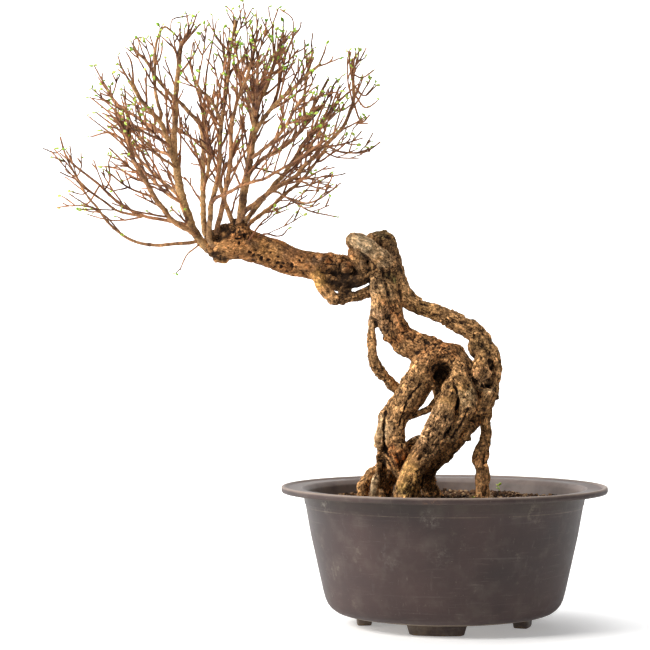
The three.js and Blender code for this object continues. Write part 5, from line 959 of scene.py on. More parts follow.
class Nodes:
    """Short calls for a material's nodes."""

    def __init__(self, name, roughness, specular=0.3):
        self.material = bpy.data.materials.new(name)
        self.material.use_nodes = True
        self.tree = self.material.node_tree
        self.shader = self.tree.nodes["Principled BSDF"]
        self.shader.inputs["Roughness"].default_value = roughness
        self.shader.inputs["Specular IOR Level"].default_value = specular

    def new(self, kind, **settings):
        node = self.tree.nodes.new(kind)
        for key, value in settings.items():
            setattr(node, key, value)
        return node

    def set(self, socket, value):
        if isinstance(value, bpy.types.NodeSocket):
            self.tree.links.new(value, socket)
        else:
            socket.default_value = value

    def place(self):
        return self.new("ShaderNodeTexCoord").outputs["Object"]

    def attribute(self, name, output="Fac"):
        return self.new("ShaderNodeAttribute", attribute_name=name).outputs[output]

    def scaled(self, vector, scale):
        node = self.new("ShaderNodeMapping")
        self.set(node.inputs["Vector"], vector)
        node.inputs["Scale"].default_value = scale
        return node.outputs["Vector"]

    def noise(self, vector, scale, detail=4, rough=0.6):
        node = self.new("ShaderNodeTexNoise")
        self.set(node.inputs["Vector"], vector)
        node.inputs["Scale"].default_value = scale
        node.inputs["Detail"].default_value = detail
        node.inputs["Roughness"].default_value = rough
        return node.outputs["Fac"]

    def cells(self, vector, scale, feature="F1", output="Distance"):
        node = self.new("ShaderNodeTexVoronoi", feature=feature)
        self.set(node.inputs["Vector"], vector)
        node.inputs["Scale"].default_value = scale
        return node.outputs[output]

    def spot(self, vector, point, reach):
        """1 around a point given in millimetres, 0 beyond its reach."""
        node = self.new("ShaderNodeVectorMath", operation="DISTANCE")
        self.set(node.inputs[0], vector)
        node.inputs[1].default_value = to_world(np.array([point]))[0]
        near = self.both(node.outputs["Value"], 0.5 / (reach * MM))
        return self.ramp(near, (0.12, 1), (0.5, 0))

    def warped(self, vector, scale, amount):
        noise = self.new("ShaderNodeTexNoise")
        self.set(noise.inputs["Vector"], vector)
        noise.inputs["Scale"].default_value = scale
        shift = self.new("ShaderNodeVectorMath", operation="MULTIPLY_ADD")
        self.set(shift.inputs[0], noise.outputs["Color"])
        shift.inputs[1].default_value = (amount, amount, amount)
        self.set(shift.inputs[2], vector)
        return shift.outputs[0]

    def ramp(self, value, *stops):
        node = self.new("ShaderNodeValToRGB")
        self.set(node.inputs["Fac"], value)
        while len(node.color_ramp.elements) < len(stops):
            node.color_ramp.elements.new(0.5)
        for element, (place, color) in zip(node.color_ramp.elements, stops):
            element.position = place
            element.color = color if isinstance(color, tuple) else (color, color, color, 1)
        return node.outputs["Color"]

    def mix(self, factor, a, b, blend="MIX"):
        node = self.new("ShaderNodeMix", data_type="RGBA", blend_type=blend)
        for socket, value in zip((node.inputs[0], node.inputs[6], node.inputs[7]), (factor, a, b)):
            self.set(socket, value)
        return node.outputs[2]

    def math(self, operation, a, b=0.0):
        node = self.new("ShaderNodeMath", operation=operation)
        self.set(node.inputs[0], a)
        self.set(node.inputs[1], b)
        return node.outputs[0]

    def both(self, a, b):
        return self.math("MULTIPLY", a, b)

    def shaded(self, color, value, *stops):
        """The colour made darker or brighter by a ramp over value."""
        return self.mix(1.0, color, self.ramp(value, *stops), "MULTIPLY")

    def bump(self, height, strength, distance):
        node = self.new("ShaderNodeBump")
        node.inputs["Strength"].default_value = strength
        node.inputs["Distance"].default_value = distance
        self.set(node.inputs["Height"], height)
        self.set(self.shader.inputs["Normal"], node.outputs["Normal"])

    def color(self, value):
        self.set(self.shader.inputs["Base Color"], value)

    def roughness(self, value):
        self.set(self.shader.inputs["Roughness"], value)


# Trunk and roots: tubes and their fibres, melted together and then carved as bark

def strand_relief(seed):
    """Ribs and swellings of one strand, as a share of its radius."""
    def relief(angle, s):
        ribs = 0.07 * np.sin(3 * angle + 0.035 * s + seed) + 0.05 * np.sin(5 * angle - 0.08 * s + 2.1 * seed)
        p = np.stack(np.broadcast_arrays(np.cos(angle) * 1.2 + seed, np.sin(angle) * 1.2, s / 11), -1)
        return 0.98 + ribs + 0.09 * noise(p, 3)
    return relief


def add_fibres(shape, path, seed):
    """Long muscles that wind round a thick strand."""
    _, u, w = frames(path)
    s = lengths_of(path)
    rng = np.random.default_rng(seed)
    for k in range(FIBRE_COUNT):
        angle = 2 * math.pi * k / FIBRE_COUNT + rng.uniform(-0.4, 0.4) + rng.uniform(0.004, 0.014) * s
        reach = path[:, 3] * (0.62 + 0.1 * np.sin(s / 17 + rng.uniform(0, 6)))
        middle = path[:, :3] + (u * np.cos(angle)[:, None] + w * np.sin(angle)[:, None]) * reach[:, None]
        size = path[:, 3] * (0.38 + 0.07 * np.sin(s / 9 + rng.uniform(0, 6)))
        size = size * np.clip(np.minimum(s, s[-1] - s) / 8 + 0.25, 0, 1)
        tube(shape, np.column_stack([middle, size]), 10)


def wood_body():
    """The strands and their fibres, melted into one skin."""
    shape = Shape()
    for seed, points in enumerate(STRANDS.values()):
        path = spline(points, STRAND_STEP)
        tube(shape, path, STRAND_SIDES, strand_relief(seed))
        if max(p[3] for p in points) > FIBRES_FROM:
            add_fibres(shape, path, seed)
    obj = make_object("trunk_and_roots_wood", shape.points(), shape.faces, bark_material())
    remesh = obj.modifiers.new("melt", "REMESH")
    remesh.mode = "VOXEL"
    remesh.voxel_size = VOXEL * MM
    applied(obj)
    return obj


def mesh_arrays(mesh):
    """Vertices in millimetres, and edges."""
    points = np.empty(len(mesh.vertices) * 3, np.float32)
    mesh.vertices.foreach_get("co", points)
    edges = np.empty(len(mesh.edges) * 2, np.int32)
    mesh.edges.foreach_get("vertices", edges)
    local = (points.reshape(-1, 3).astype(float) - AXIS) / MM
    return local, edges.reshape(-1, 2)


def smoothed(points, edges, times):
    """Each vertex drawn to the middle of its neighbours, times over."""
    ends = np.concatenate([edges[:, 0], edges[:, 1]])
    others = np.concatenate([edges[:, 1], edges[:, 0]])
    degree = np.maximum(np.bincount(ends, minlength=len(points)), 1)[:, None]
    for _ in range(times):
        total = [np.bincount(ends, column[others], len(points)) for column in points.T]
        points = 0.4 * points + 0.6 * np.stack(total, 1) / degree
    return points


def moved_to(obj, points):
    """Moves the vertices of obj and gives back their new normals."""
    obj.data.vertices.foreach_set("co", to_world(points).astype(np.float32).ravel())
    obj.data.update()
    normals = np.empty(len(points) * 3, np.float32)
    obj.data.vertex_normals.foreach_get("vector", normals)
    return normals.reshape(-1, 3).astype(float)


def strand_places(points):
    """For each point: its place crosswise in its nearest strand, along it, and which strand."""
    owner = []
    for index, route in enumerate(STRANDS.values()):
        path = spline(route, STRAND_STEP)
        t, u, w = frames(path)
        s = lengths_of(path)
        owner += [(index, s[i], path[i, 3], t[i], u[i], w[i], path[i, :3]) for i in range(len(path))]
    tree = KDTree(len(owner))
    for i, one in enumerate(owner):
        tree.insert(Vector(one[6]), i)
    tree.balance()
    grain = np.empty((len(points), 3))
    strand = np.empty(len(points), int)
    for i, p in enumerate(points):
        near = min(tree.find_n(Vector(p), 6), key=lambda hit: hit[2] / owner[hit[1]][2])
        index, s, _, t, u, w, middle = owner[near[1]]
        offset = p - middle
        grain[i] = offset.dot(u), offset.dot(w), s + offset.dot(t)
        strand[i] = index
    return grain, strand


def linear(color):
    """Linear colour of an 8-bit screen colour, as an array."""
    return np.array(srgb(*color)[:3])


def bark_tint(points):
    """Colour of the bark at each point: the base, the paler trunk, streaks and patches; the patches include
    painted light and, in the hollow of the arch, painted shade.
    """
    warp = noise_vector(points, 9, 7, 40) + 0.6 * noise_vector(points, 3.5, 7, 44)
    tint = np.tile(linear(BARK_COLORS["base"]), (len(points), 1))
    on_trunk = smoothstep(-96, -112, points[:, 0])[:, None]
    tint = tint * (1 - on_trunk) + linear(TRUNK_COLOR) * on_trunk
    tint = tint * (1 + 0.25 * noise(points / 14, 50) + 0.2 * noise(points / 5, 51))[:, None]
    along, cross = points[:, 0] - 0.25 * points[:, 2], points[:, 2] + 0.25 * points[:, 0]
    streaks = noise(np.stack([along / 17, points[:, 1] / 3.5, cross / 2.6], 1) + warp * 0.3, 52)
    tint = tint * (1 + 0.45 * streaks[:, None] * on_trunk)
    for kind, spots in PATCHES.items():
        for middle, reach, strength in spots:
            far = np.linalg.norm(points + warp * 5 - np.array(middle), axis=1)
            share = strength * smoothstep(1.25, 0.5, far / reach)
            share = (share * (0.7 + 0.5 * noise(points / 3.2, 60)))[:, None].clip(0, 1)
            tint = tint * (1 - share) + linear(BARK_COLORS[kind]) * share
    return tint


def smooth_bark(points):
    """1 where the bark has stayed smooth, 0 elsewhere."""
    bare = np.zeros(len(points))
    for middle, reach in BARE:
        far = np.linalg.norm(points - np.array(middle), axis=1)
        bare = np.maximum(bare, smoothstep(1.2, 0.7, far / reach))
    return bare


def plate_relief(points, cross, trunk, burl, bare):
    """Height of the plates, ridges and flakes of the bark, and a tone for each plate."""
    knurled = smoothstep(-116, -106, points[:, 0]) * smoothstep(-64, -74, points[:, 0])
    rough = (1 - 0.62 * trunk + 1.1 * burl + 0.4 * knurled) * (1 - 0.6 * bare)
    rough = rough * (0.9 + 0.7 * noise(points / 15, 21))
    bent = cross + 1.3 * noise_vector(points, 3.5, 9, 20)
    border, tone = plates(bent / 3.8, 12)
    ridges = np.abs(noise(cross * np.array([1, 1, 0.6]) / 2.8, 13))
    flakes = layered(points / 3.2, 3, 14)
    relief = -0.8 * smoothstep(0.16, 0.0, border) + 0.45 * tone + 0.9 * (0.3 - ridges) + 0.4 * flakes
    relief = relief * rough + (1 - 0.5 * trunk) * (1.1 * noise(points / 9, 15) + 0.8 * noise(points / 5, 18))
    relief += burl * (2.4 * noise(points / 4.5, 17) + 1.6 * noise(points / 2.2, 19))
    return relief + 0.25 - relief.mean(), tone


def oval(wobble, x, z, wide, high):
    """Distance from the middle of an upright oval, 1 at its edge."""
    return np.hypot((wobble[:, 0] - x) / wide, (wobble[:, 2] - z) / high)


def pits_and_knot(wobble, front):
    """How deep the insect pits sink, and how high their edges and the knot stand."""
    sunk = np.zeros(len(wobble))
    raised = np.zeros(len(wobble))
    for x, z, wide, high, depth in PITS:
        far = oval(wobble, x, z, wide, high)
        sunk = np.maximum(sunk, smoothstep(1.4, 0.6, far) * 0.7 * depth * front)
        raised += 0.35 * smoothstep(0.6, 0.0, np.abs(far - 1.9)) * front
    x, z, reach = KNOT
    knot = oval(wobble, x, z, reach, reach)
    raised += 0.9 * (smoothstep(0.8, 0.3, knot) - smoothstep(0.5, 0.0, np.abs(knot - 1.1))) * front
    return sunk, raised


def seam_depth(wobble, y):
    """How deep the seams between roots sink; the bark material darkens them by it, as painted shade."""
    sunk = np.zeros(len(wobble))
    flat = wobble[:, [0, 2]]
    for wide, depth, route in SEAMS:
        marks = np.array(route, float)
        for a, b in zip(marks, marks[1:]):
            share = np.clip(((flat - a) @ (b - a)) / ((b - a) @ (b - a)), 0, 1)
            far = np.linalg.norm(flat - a - share[:, None] * (b - a), axis=1) / wide
            sunk = np.maximum(sunk, depth * smoothstep(1.3, 0.3, far) * smoothstep(-2, -6, y))
    return sunk


def carve_bark(obj):
    """Grain along the strands, bark plates, cracks and pits, as real relief, and the values that colour the
    bark, with painted shade on faces that look down.
    """
    points, edges = mesh_arrays(obj.data)
    points = smoothed(points, edges, 2)
    grain, strand = strand_places(points)
    normals = moved_to(obj, points)
    # Zones along the tree: the trunk is smoother, and the torn edges of its burl are rougher
    x, y, z = points.T
    trunk = smoothstep(-100, -114, x)
    burl = smoothstep(-164, -174, x) * smoothstep(333, 339, z + 0.5 * (x + 184))
    burl = np.maximum(burl, smoothstep(-190, -201, x))
    bare = smooth_bark(points)
    cross = grain * np.array([1, 1, 0.6]) + np.array([0, 0, 1]) * (strand * STRAND_SHIFT)[:, None]
    relief, tone = plate_relief(points, cross, trunk, burl, bare)
    wobble = points + 0.9 * noise_vector(points, 1.8, 5, 30)
    sunk, raised = pits_and_knot(wobble, y < -2)
    sunk = np.maximum(sunk, seam_depth(wobble, y))
    underside = smoothstep(328, 312, z + 0.33 * (x + 140))
    dimples = smoothstep(0.45, 0.65, noise(points / 3.1, 16)) * trunk * underside
    moved = points + normals * (relief + raised - sunk - dimples)[:, None]
    for middle_x, middle_z, wide, high, depth in DENTS:
        far = oval(wobble, middle_x, middle_z, wide, high)
        moved[:, 1] += depth * smoothstep(1.1, 0.6, far) * smoothstep(4, -2, y)
    level = smoothed(moved, edges, 10)
    # hollow and valley: how far each point lies below its smoothed surround, with pits and seams added; the
    # bark material paints shade by them, and highlights on crests.
    hollow = np.einsum("ij,ij->i", level - moved, normals) / 0.9 + sunk
    broad = np.einsum("ij,ij->i", smoothed(level, edges, 40) - level, normals)
    moved_to(obj, moved)
    store(obj, "hollow", np.clip(hollow, -1, 1))
    store(obj, "valley", np.clip(broad / 1.6, -1, 1))
    store(obj, "grain", cross, "FLOAT_VECTOR")
    store(obj, "scaly", (1 - 0.7 * bare) * (1 - 0.6 * trunk) + burl)
    # Painted shade: faces that look down are made up to 0.4 darker.
    under = 1 - 0.4 * smoothstep(0.1, -0.9, normals[:, 2])
    tint = bark_tint(points) * (under * (1 + 0.28 * tone * (1 - 0.5 * trunk)))[:, None]
    store(obj, "tint", np.column_stack([tint, np.ones(len(tint))]), "FLOAT_COLOR")
    obj.data.shade_smooth()


def bark_material():
    """Bark coloured by its tint, scales and cracks, with painted shade in its hollows and painted highlights
    on its crests.
    """
    m = Nodes("bark", 0.9, 0.15)
    tint = m.attribute("tint", "Color")
    place = m.place()
    grain = m.attribute("grain", "Vector")
    streaks = m.noise(m.scaled(grain, (1, 1, 0.35)), 0.9, 6, 0.72)
    bent = m.warped(grain, 0.35, 2.2)
    edge = m.cells(bent, 0.52, "DISTANCE_TO_EDGE")
    scale_tone = m.cells(bent, 0.52, "F1", "Color")
    fine_tone = m.cells(bent, 0.95, "F1", "Color")
    specks = m.noise(place, 520, 5, 0.75)
    flakes = m.noise(m.warped(place, 200, 0.004), 330, 4, 0.7)
    blotches = m.noise(place, 120, 4, 0.6)
    color = m.shaded(tint, scale_tone, (0.0, 0.55), (0.5, 0.95), (1.0, 1.55))
    color = m.shaded(color, fine_tone, (0.0, 0.7), (0.5, 1.0), (1.0, 1.35))
    color = m.shaded(color, streaks, (0.3, 0.45), (0.5, 1.0), (0.68, 1.5))
    color = m.shaded(color, specks, (0.36, 0.45), (0.5, 1.0), (0.64, 1.6))
    color = m.shaded(color, blotches, (0.3, 0.6), (0.7, 1.3))
    color = m.shaded(color, flakes, (0.34, 0.6), (0.44, 1.0), (0.57, 1.0), (0.66, 1.7))
    crack = m.both(m.ramp(edge, (0.04, 1.0), (0.24, 0.0)), m.ramp(flakes, (0.44, 1), (0.56, 0)))
    color = m.mix(m.both(crack, m.attribute("scaly")), color, srgb(38, 26, 18))
    # Painted shade in hollows, pits and seams, then in the broad valleys between strands.
    dark = m.ramp(m.attribute("hollow"), (0.05, 0), (0.55, 1))
    color = m.mix(dark, color, srgb(42, 28, 19))
    deep = m.ramp(m.attribute("valley"), (0.1, 0), (0.8, 0.85))
    color = m.mix(deep, color, srgb(34, 24, 17))
    # Painted highlight: the crests are made up to 1.45 times brighter.
    crest = m.both(m.attribute("hollow"), -1.0)
    m.color(m.shaded(color, crest, (0.1, 1.0), (0.8, 1.45)))
    m.bump(m.mix(0.5, m.mix(0.5, streaks, specks), edge), 0.9, 0.0018)
    return m.material


# Crown: limbs, twigs and opening leaf buds

def crown_share(p):
    """How far out a point stands in the crown: 0 in its middle, 1 at its edge."""
    x, z = p[0] - CROWN_MIDDLE[0], p[2] - CROWN_MIDDLE[1]
    turn = math.degrees(math.atan2(max(z, 0), x))
    reach = np.interp(turn, CROWN_EDGE[:, 0], CROWN_EDGE[:, 1])
    return math.hypot(math.hypot(x, z) / reach, p[1] / CROWN_DEPTH)


def knobbly(seed):
    """Small swellings where buds sit, and a little unevenness."""
    def relief(angle, s):
        nodes = np.maximum(0, np.cos(2 * math.pi * s / 8.5 + seed)) ** 8
        return 1 + 0.26 * nodes + 0.06 * np.sin(3 * angle + 0.4 * s + seed)
    return relief


def grown(start, heading, length, radius, rng, bend=0.1, lift=0.03):
    """A shoot that zigzags a little and turns outwards and up."""
    out = unit(start - CROWN_ROOT)
    steps = max(3, int(length / 3.5))
    points = [start]
    side = unit(np.cross(heading, rng.normal(size=3)))
    for i in range(steps):
        sway = side * (bend * (-1) ** i) + rng.normal(size=3) * bend * 0.45
        heading = unit(heading + sway + out * 0.05 + np.array([0, 0, lift]))
        points.append(points[-1] + heading * length / steps)
    return np.column_stack([points, np.linspace(radius, TWIG_TIP, steps + 1)])


def side_heading(direction, spread, roll):
    """A direction that leans away from another by spread, turned round it by roll."""
    up = np.array([0, 0, 1.0]) if abs(direction[2]) < 0.9 else np.array([1.0, 0, 0])
    side = unit(np.cross(up, direction))
    other = np.cross(direction, side)
    return direction * math.cos(spread) + (side * math.cos(roll) + other * math.sin(roll)) * math.sin(spread)


def limb_paths():
    """Path of each limb, which begins on the path of its parent."""
    paths = {}
    for name, _, parent, radii, route in LIMBS:
        points = np.array(route, float)
        if parent:
            near = paths[parent][:, :3]
            points[0] = near[np.argmin(np.linalg.norm(near - points[0], axis=1))]
        s = lengths_of(points)
        radius = radii[0] + (radii[1] - radii[0]) * s / s[-1]
        paths[name] = spline(np.column_stack([points, radius]), 2.2)
    return paths


def leaf(shape, base, heading, length, rng):
    """A small folded leaf blade, closed and with its edges lifted."""
    side = unit(np.cross(heading, rng.normal(size=3)))
    up = np.cross(side, heading)
    width, thick = length * rng.uniform(0.26, 0.34), 0.16
    curl = rng.uniform(-0.2, 0.45)
    verts = []
    for share, spread in LEAF_FORM:
        middle = base + heading * length * share + up * curl * length * share ** 2
        edge = side * width * spread
        lift = up * width * 0.45 * spread
        verts += [middle + edge + lift, middle + up * thick, middle - edge + lift, middle - up * thick]
    verts += [base, base + heading * length + up * curl * length]
    shape.add(np.array(verts), closed_rings(len(LEAF_FORM), 4), rng.uniform(0, 1))


def leaf_bud(wood, leaves, point, heading, rng, size=1.0):
    """A bud's brown base and the one or two leaves that open from it."""
    length = rng.uniform(1.2, 2.0)
    radius = np.array([0.3, 0.62, 0.3]) * rng.uniform(0.85, 1.15)
    stub = np.column_stack([point + np.outer([0, 0.5, 1.0], heading) * length, radius])
    tube(wood, stub, 5, value=0.3)
    top = stub[-1, :3] - heading * 0.4
    for _ in range(rng.integers(1, 3)):
        tilt = unit(heading * 0.6 + rng.normal(size=3) * np.array([0.7, 0.7, 0.3]))
        leaf(leaves, top, tilt, rng.uniform(*LEAF_LENGTH) * size, rng)


def opening(point, side):
    """Chance that a bud has opened: more at the tips, the top and the edge of the crown."""
    high = 1.0 if point[2] < SPROUTS_BELOW else 0.45 + 0.55 * smoothstep(375, 480, point[2])
    edge = smoothstep(0.6, 0.95, crown_share(point)) + 1.5 * (point[2] < SPROUTS_BELOW)
    return (0.03 + 0.12 * edge) * high if side else (0.16 + 0.62 * edge) * high


def dress_shoot(wood, leaves, path, rng, first, spacing):
    """Buds in two rows along a shoot and one at its tip, some of them open."""
    s = lengths_of(path)
    place = s[-1] * first
    flip = rng.integers(0, 2)
    roll = rng.uniform(0, 6.3)
    while place < s[-1] - 2:
        point, radius, direction = at_share(path, place / s[-1])
        heading = side_heading(direction, rng.uniform(0.5, 0.9), roll + math.pi * flip)
        if rng.random() < opening(point, True):
            leaf_bud(wood, leaves, point + heading * radius * 0.5, heading, rng, rng.uniform(0.55, 0.95))
        elif rng.random() < CLOSED_BUDS:
            stub = np.column_stack([point + np.outer([0, 0.7, 1.5], heading), [0.3, 0.55, 0.12]])
            tube(wood, stub, 5, value=0.2)
        flip = 1 - flip
        place += spacing * rng.uniform(0.7, 1.3)
    if rng.random() < opening(path[-1], False):
        leaf_bud(wood, leaves, path[-1, :3], unit(path[-1, :3] - path[-2, :3]), rng)


def drawn_twigs(paths, taken):
    """The twigs that draw the outline, as (branch, path, share of sprigs)."""
    plan = []
    for name, share, route in TIP_TWIGS:
        branch = next(limb[1] for limb in LIMBS if limb[0] == name)
        start, radius, _ = at_share(paths[name], share)
        points = np.vstack([start, route])
        radii = np.linspace(min(TWIG_RADIUS, radius * 0.7), TWIG_TIP, len(points))
        twig = spline(np.column_stack([points, radii]), 3.5)
        taken.extend(twig[::3, :3])
        plan.append((branch, twig, SPARSE.get(name, 1)))
    return plan


def limb_twigs(index, path, taken):
    """Twigs along one limb and a few at its end, as (branch, path, share of sprigs)."""
    name, branch, _, radii, _ = LIMBS[index]
    rng = np.random.default_rng(SEEDS["twig"] + index)
    total = lengths_of(path)[-1]
    small = radii[0] < 1.2
    thinned = SPARSE.get(name, 1)
    twigs = []
    place = total * (0.4 if small else TWIG_FIRST)
    turn = rng.uniform(0, 6.3)
    while place < total * 0.97:
        share = place / total
        start, radius, direction = at_share(path, share)
        turn += 2.4
        spread = rng.uniform(0.45, 1.0)
        length = np.interp(share, [0.2, 1], TWIG_LENGTH) * rng.uniform(0.55, 1.25) * (0.5 if small else 1)
        radius = min(TWIG_RADIUS, radius * 0.65)
        twigs.append(fitted(start, direction, spread, turn, length, radius, rng, taken))
        place += TWIG_SPACING * rng.uniform(0.75, 1.25) * (1.35 - 0.7 * share) / thinned
    end_twigs = rng.integers(3, 6) if radii[1] > 1.0 else 0
    for k in range(end_twigs):
        start, radius, direction = at_share(path, rng.uniform(0.88, 0.99))
        spread, length = rng.uniform(0.2, 0.8), rng.uniform(24, 66)
        radius = min(TWIG_RADIUS, radius * 0.8)
        twigs.append(fitted(start, direction, spread, k * 1.6, length, radius, rng, taken))
    return [(branch, twig, thinned) for twig in twigs if twig is not None]


def sprigs_of(twigs, taken):
    """Short side shoots of the twigs, as (branch, path)."""
    sprigs = []
    for index, (branch, path, thinned) in enumerate(twigs):
        rng = np.random.default_rng(SEEDS["sprig"] + index)
        total = lengths_of(path)[-1]
        for _ in range(int(total / rng.uniform(10, 15) * thinned)):
            start, _, direction = at_share(path, rng.uniform(0.3, 0.92))
            length = rng.uniform(*SPRIG_LENGTH)
            spread, turn = rng.uniform(0.4, 0.85), rng.uniform(0, 6.3)
            sprig = fitted(start, direction, spread, turn, length, SPRIG_RADIUS, rng, taken)
            if sprig is not None:
                sprigs.append((branch, sprig))
    return sprigs


def fitted(start, direction, spread, turn, length, radius, rng, taken):
    """The shoot, out of several tries inside the crown, that has the most room around its tip."""
    best, most_room = None, 0
    for attempt in range(SHOOT_TRIES):
        heading = side_heading(direction, spread * (1 - 0.08 * attempt), turn + 0.9 * attempt)
        if heading.dot(unit(start - CROWN_ROOT)) < 0.5:
            continue
        shoot = grown(start, heading, length * (1 - 0.06 * attempt), radius, rng)
        end = shoot[-1, :3]
        if crown_share(end) > 1.0 or end[2] < max(CROWN_LOWEST, start[2] - 4):
            continue
        room = np.linalg.norm((np.array(taken) - end) * DEPTH_COUNTS, axis=1).min()
        if room > most_room:
            best, most_room = shoot, room
    if best is not None:
        taken.extend([best[-1, :3], best[len(best) * 2 // 3, :3]])
    return best


def crown_shoots(paths):
    """Every twig and sprig as (branch, path, sides, space between its buds)."""
    taken = [point for path in paths.values() for point in path[::4, :3]]
    twigs = drawn_twigs(paths, taken)
    for index, limb in enumerate(LIMBS):
        twigs += limb_twigs(index, paths[limb[0]], taken)
    sprigs = sprigs_of(twigs, taken)
    shoots = [(branch, path, 6, 8) for branch, path, _ in twigs]
    return shoots + [(branch, path, 5, 7) for branch, path in sprigs]


def crown_pieces():
    """One piece of wood and one of leaves for each branch node."""
    paths = limb_paths()
    wood = {limb[1]: Shape() for limb in LIMBS}
    leaves = {branch: Shape() for branch in wood}
    for index, (name, branch, _, radii, _) in enumerate(LIMBS):
        path = paths[name]
        rng = np.random.default_rng(SEEDS["limb"] + index)
        age = (path[:, 3].mean() - 0.8) / 2.2 + rng.uniform(-0.2, 0.5)
        tube(wood[branch], path, 12 if radii[0] > 2.2 else 9, knobbly(index), np.clip(age, 0, 1))
        dress_shoot(wood[branch], leaves[branch], path, rng, 0.5, 18)
    for index, (branch, path, sides, spacing) in enumerate(crown_shoots(paths)):
        rng = np.random.default_rng(SEEDS["buds"] + index)
        tube(wood[branch], path, sides, knobbly(index), 0.12)
        dress_shoot(wood[branch], leaves[branch], path, rng, 0.35, spacing)
    twig_look, leaf_look = twig_material(), leaf_material()
    for branch in wood:
        shape_piece(branch + "_twigs", wood[branch], twig_look, "age", [branch])
        if leaves[branch].count:
            shape_piece(branch + "_leaves", leaves[branch], leaf_look, "tone", [])


def twig_material():
    """Red-brown when young, tan and flecked when old."""
    m = Nodes("twig_bark", 0.7, 0.3)
    place = m.place()
    age = m.attribute("age")
    tone = m.noise(place, 75, 5, 0.7)
    young = m.mix(m.ramp(tone, (0.38, 0), (0.62, 1)), srgb(84, 50, 34), srgb(166, 110, 72))
    old = m.mix(m.ramp(tone, (0.38, 0), (0.62, 1)), srgb(92, 64, 42), srgb(200, 156, 102))
    color = m.mix(age, young, old)
    flecks = m.noise(place, 500, 5, 0.75)
    color = m.shaded(color, flecks, (0.36, 0.45), (0.5, 1.0), (0.64, 1.5))
    m.color(color)
    m.bump(m.noise(place, 1100, 3), 0.4, 0.0003)
    return m.material


def leaf_material():
    """Young yellow-green leaves that let some light through."""
    m = Nodes("young_leaf", 0.5, 0.35)
    tone = m.attribute("tone")
    color = m.ramp(tone, (0.0, srgb(130, 178, 44)), (0.5, srgb(170, 204, 66)), (1.0, srgb(208, 220, 112)))
    veins = m.noise(m.place(), 700, 3)
    m.color(m.shaded(color, veins, (0.3, 0.8), (0.7, 1.15)))
    m.shader.inputs["Subsurface Weight"].default_value = 0.15
    m.shader.inputs["Subsurface Radius"].default_value = (0.002, 0.003, 0.001)
    m.bump(veins, 0.2, 0.0002)
    return m.material


# Pot: one turned wall with a lip, feet and drain holes

def rounded(outline, reach, low_reach=None):
    """Outline with each corner eased, so that edges catch the light, and low corners more."""
    points = [np.array(p, float) for p in outline]
    out = [points[0]]
    for a, b, c in zip(points, points[1:], points[2:]):
        most = low_reach if low_reach and b[1] < LOW_CORNERS_BELOW else reach
        r = min(most, np.linalg.norm(a - b) / 2.2, np.linalg.norm(c - b) / 2.2)
        first, last = b + unit(a - b) * r, b + unit(c - b) * r
        out += [first, (first + 2 * b + last) / 4, last]
    return np.array(out + [points[-1]])


def turned(shape, outline, steps):
    """Turns an outline of [radius, height] that starts and ends on the axis."""
    ends = [(0, 0, outline[0][1]), (0, 0, outline[-1][1])]
    verts = np.vstack([around_axis(outline[1:-1], steps), ends])
    shape.add(verts, closed_rings(len(outline) - 2, steps))


def pot_outline():
    """Up the outside from the middle of the base, over the rim and down the inside."""
    hollow = BASE_BOTTOM + 0.6
    base = [(0, hollow), (70, hollow), (71, BASE_BOTTOM)]
    under_rim = [(119.5, 104.6), (120.0, 104.4), (121, 113.2), (123, 113.9), (135, 114.2)]
    lip = [
        (RIM_RADIUS - 0.8, 113.9), (RIM_RADIUS, 115.4), (RIM_RADIUS, RIM_TOP - 0.6),
        (RIM_RADIUS - 0.8, RIM_TOP), (RIM_RADIUS - 3.2, RIM_TOP), (RIM_RADIUS - 4.4, 118.0),
    ]
    plate = [(134.6, 117.8), (123.2, RIM_PLATE), (121.6, 117.4), (118.2, 113.9)]
    inside = [(r - WALL, z) for r, z in WALL_OUTSIDE[1:-2]]
    outside = WALL_OUTSIDE[:0:-1]
    return base + outside + under_rim + lip + plate + inside + [(82, POT_FLOOR), (0, POT_FLOOR)]


def foot_block(shape, turn):
    """One foot: a short curved block with eased edges."""
    steps = 14
    section = rounded([
        (FOOT_INNER + 3, BASE_BOTTOM + 1), (FOOT_INNER, BASE_BOTTOM + 1), (FOOT_INNER + 1, 0),
        (FOOT_OUTER - 1, 0), (FOOT_OUTER, BASE_BOTTOM + 1), (FOOT_OUTER - 3, BASE_BOTTOM + 1),
    ], 1.2)
    n = len(section)
    verts = []
    for i in range(steps + 1):
        share = 2 * i / steps - 1
        shrink = 1 - 0.16 * smoothstep(0.9, 1.0, abs(share))
        middle = (FOOT_INNER + FOOT_OUTER) / 2
        for r, z in section:
            angle = turn + FOOT_HALF_ANGLE * share * (1.04 if z > 1.5 else 0.95)
            reach = middle + (r - middle) * shrink
            verts.append((reach * math.cos(angle), reach * math.sin(angle), z + (1 - shrink) * 4 * (z < 1)))
    ends = [tuple(range(n)), tuple(reversed(range(steps * n, steps * n + n)))]
    shape.add(np.array(verts), walls(steps + 1, n, flip=True) + ends)


def drain_cutter(material):
    """The rods that cut the drain holes."""
    cutters = Shape()
    for k in range(DRAIN_COUNT):
        angle = k * 2 * math.pi / DRAIN_COUNT
        middle = np.array([DRAIN_RING * math.cos(angle), DRAIN_RING * math.sin(angle), 0])
        path = np.column_stack([middle + np.outer([2, 20], [0, 0, 1]), [DRAIN_RADIUS] * 2])
        tube(cutters, path, 32)
    return make_object("drain_cutter", cutters.points(), cutters.faces, material)


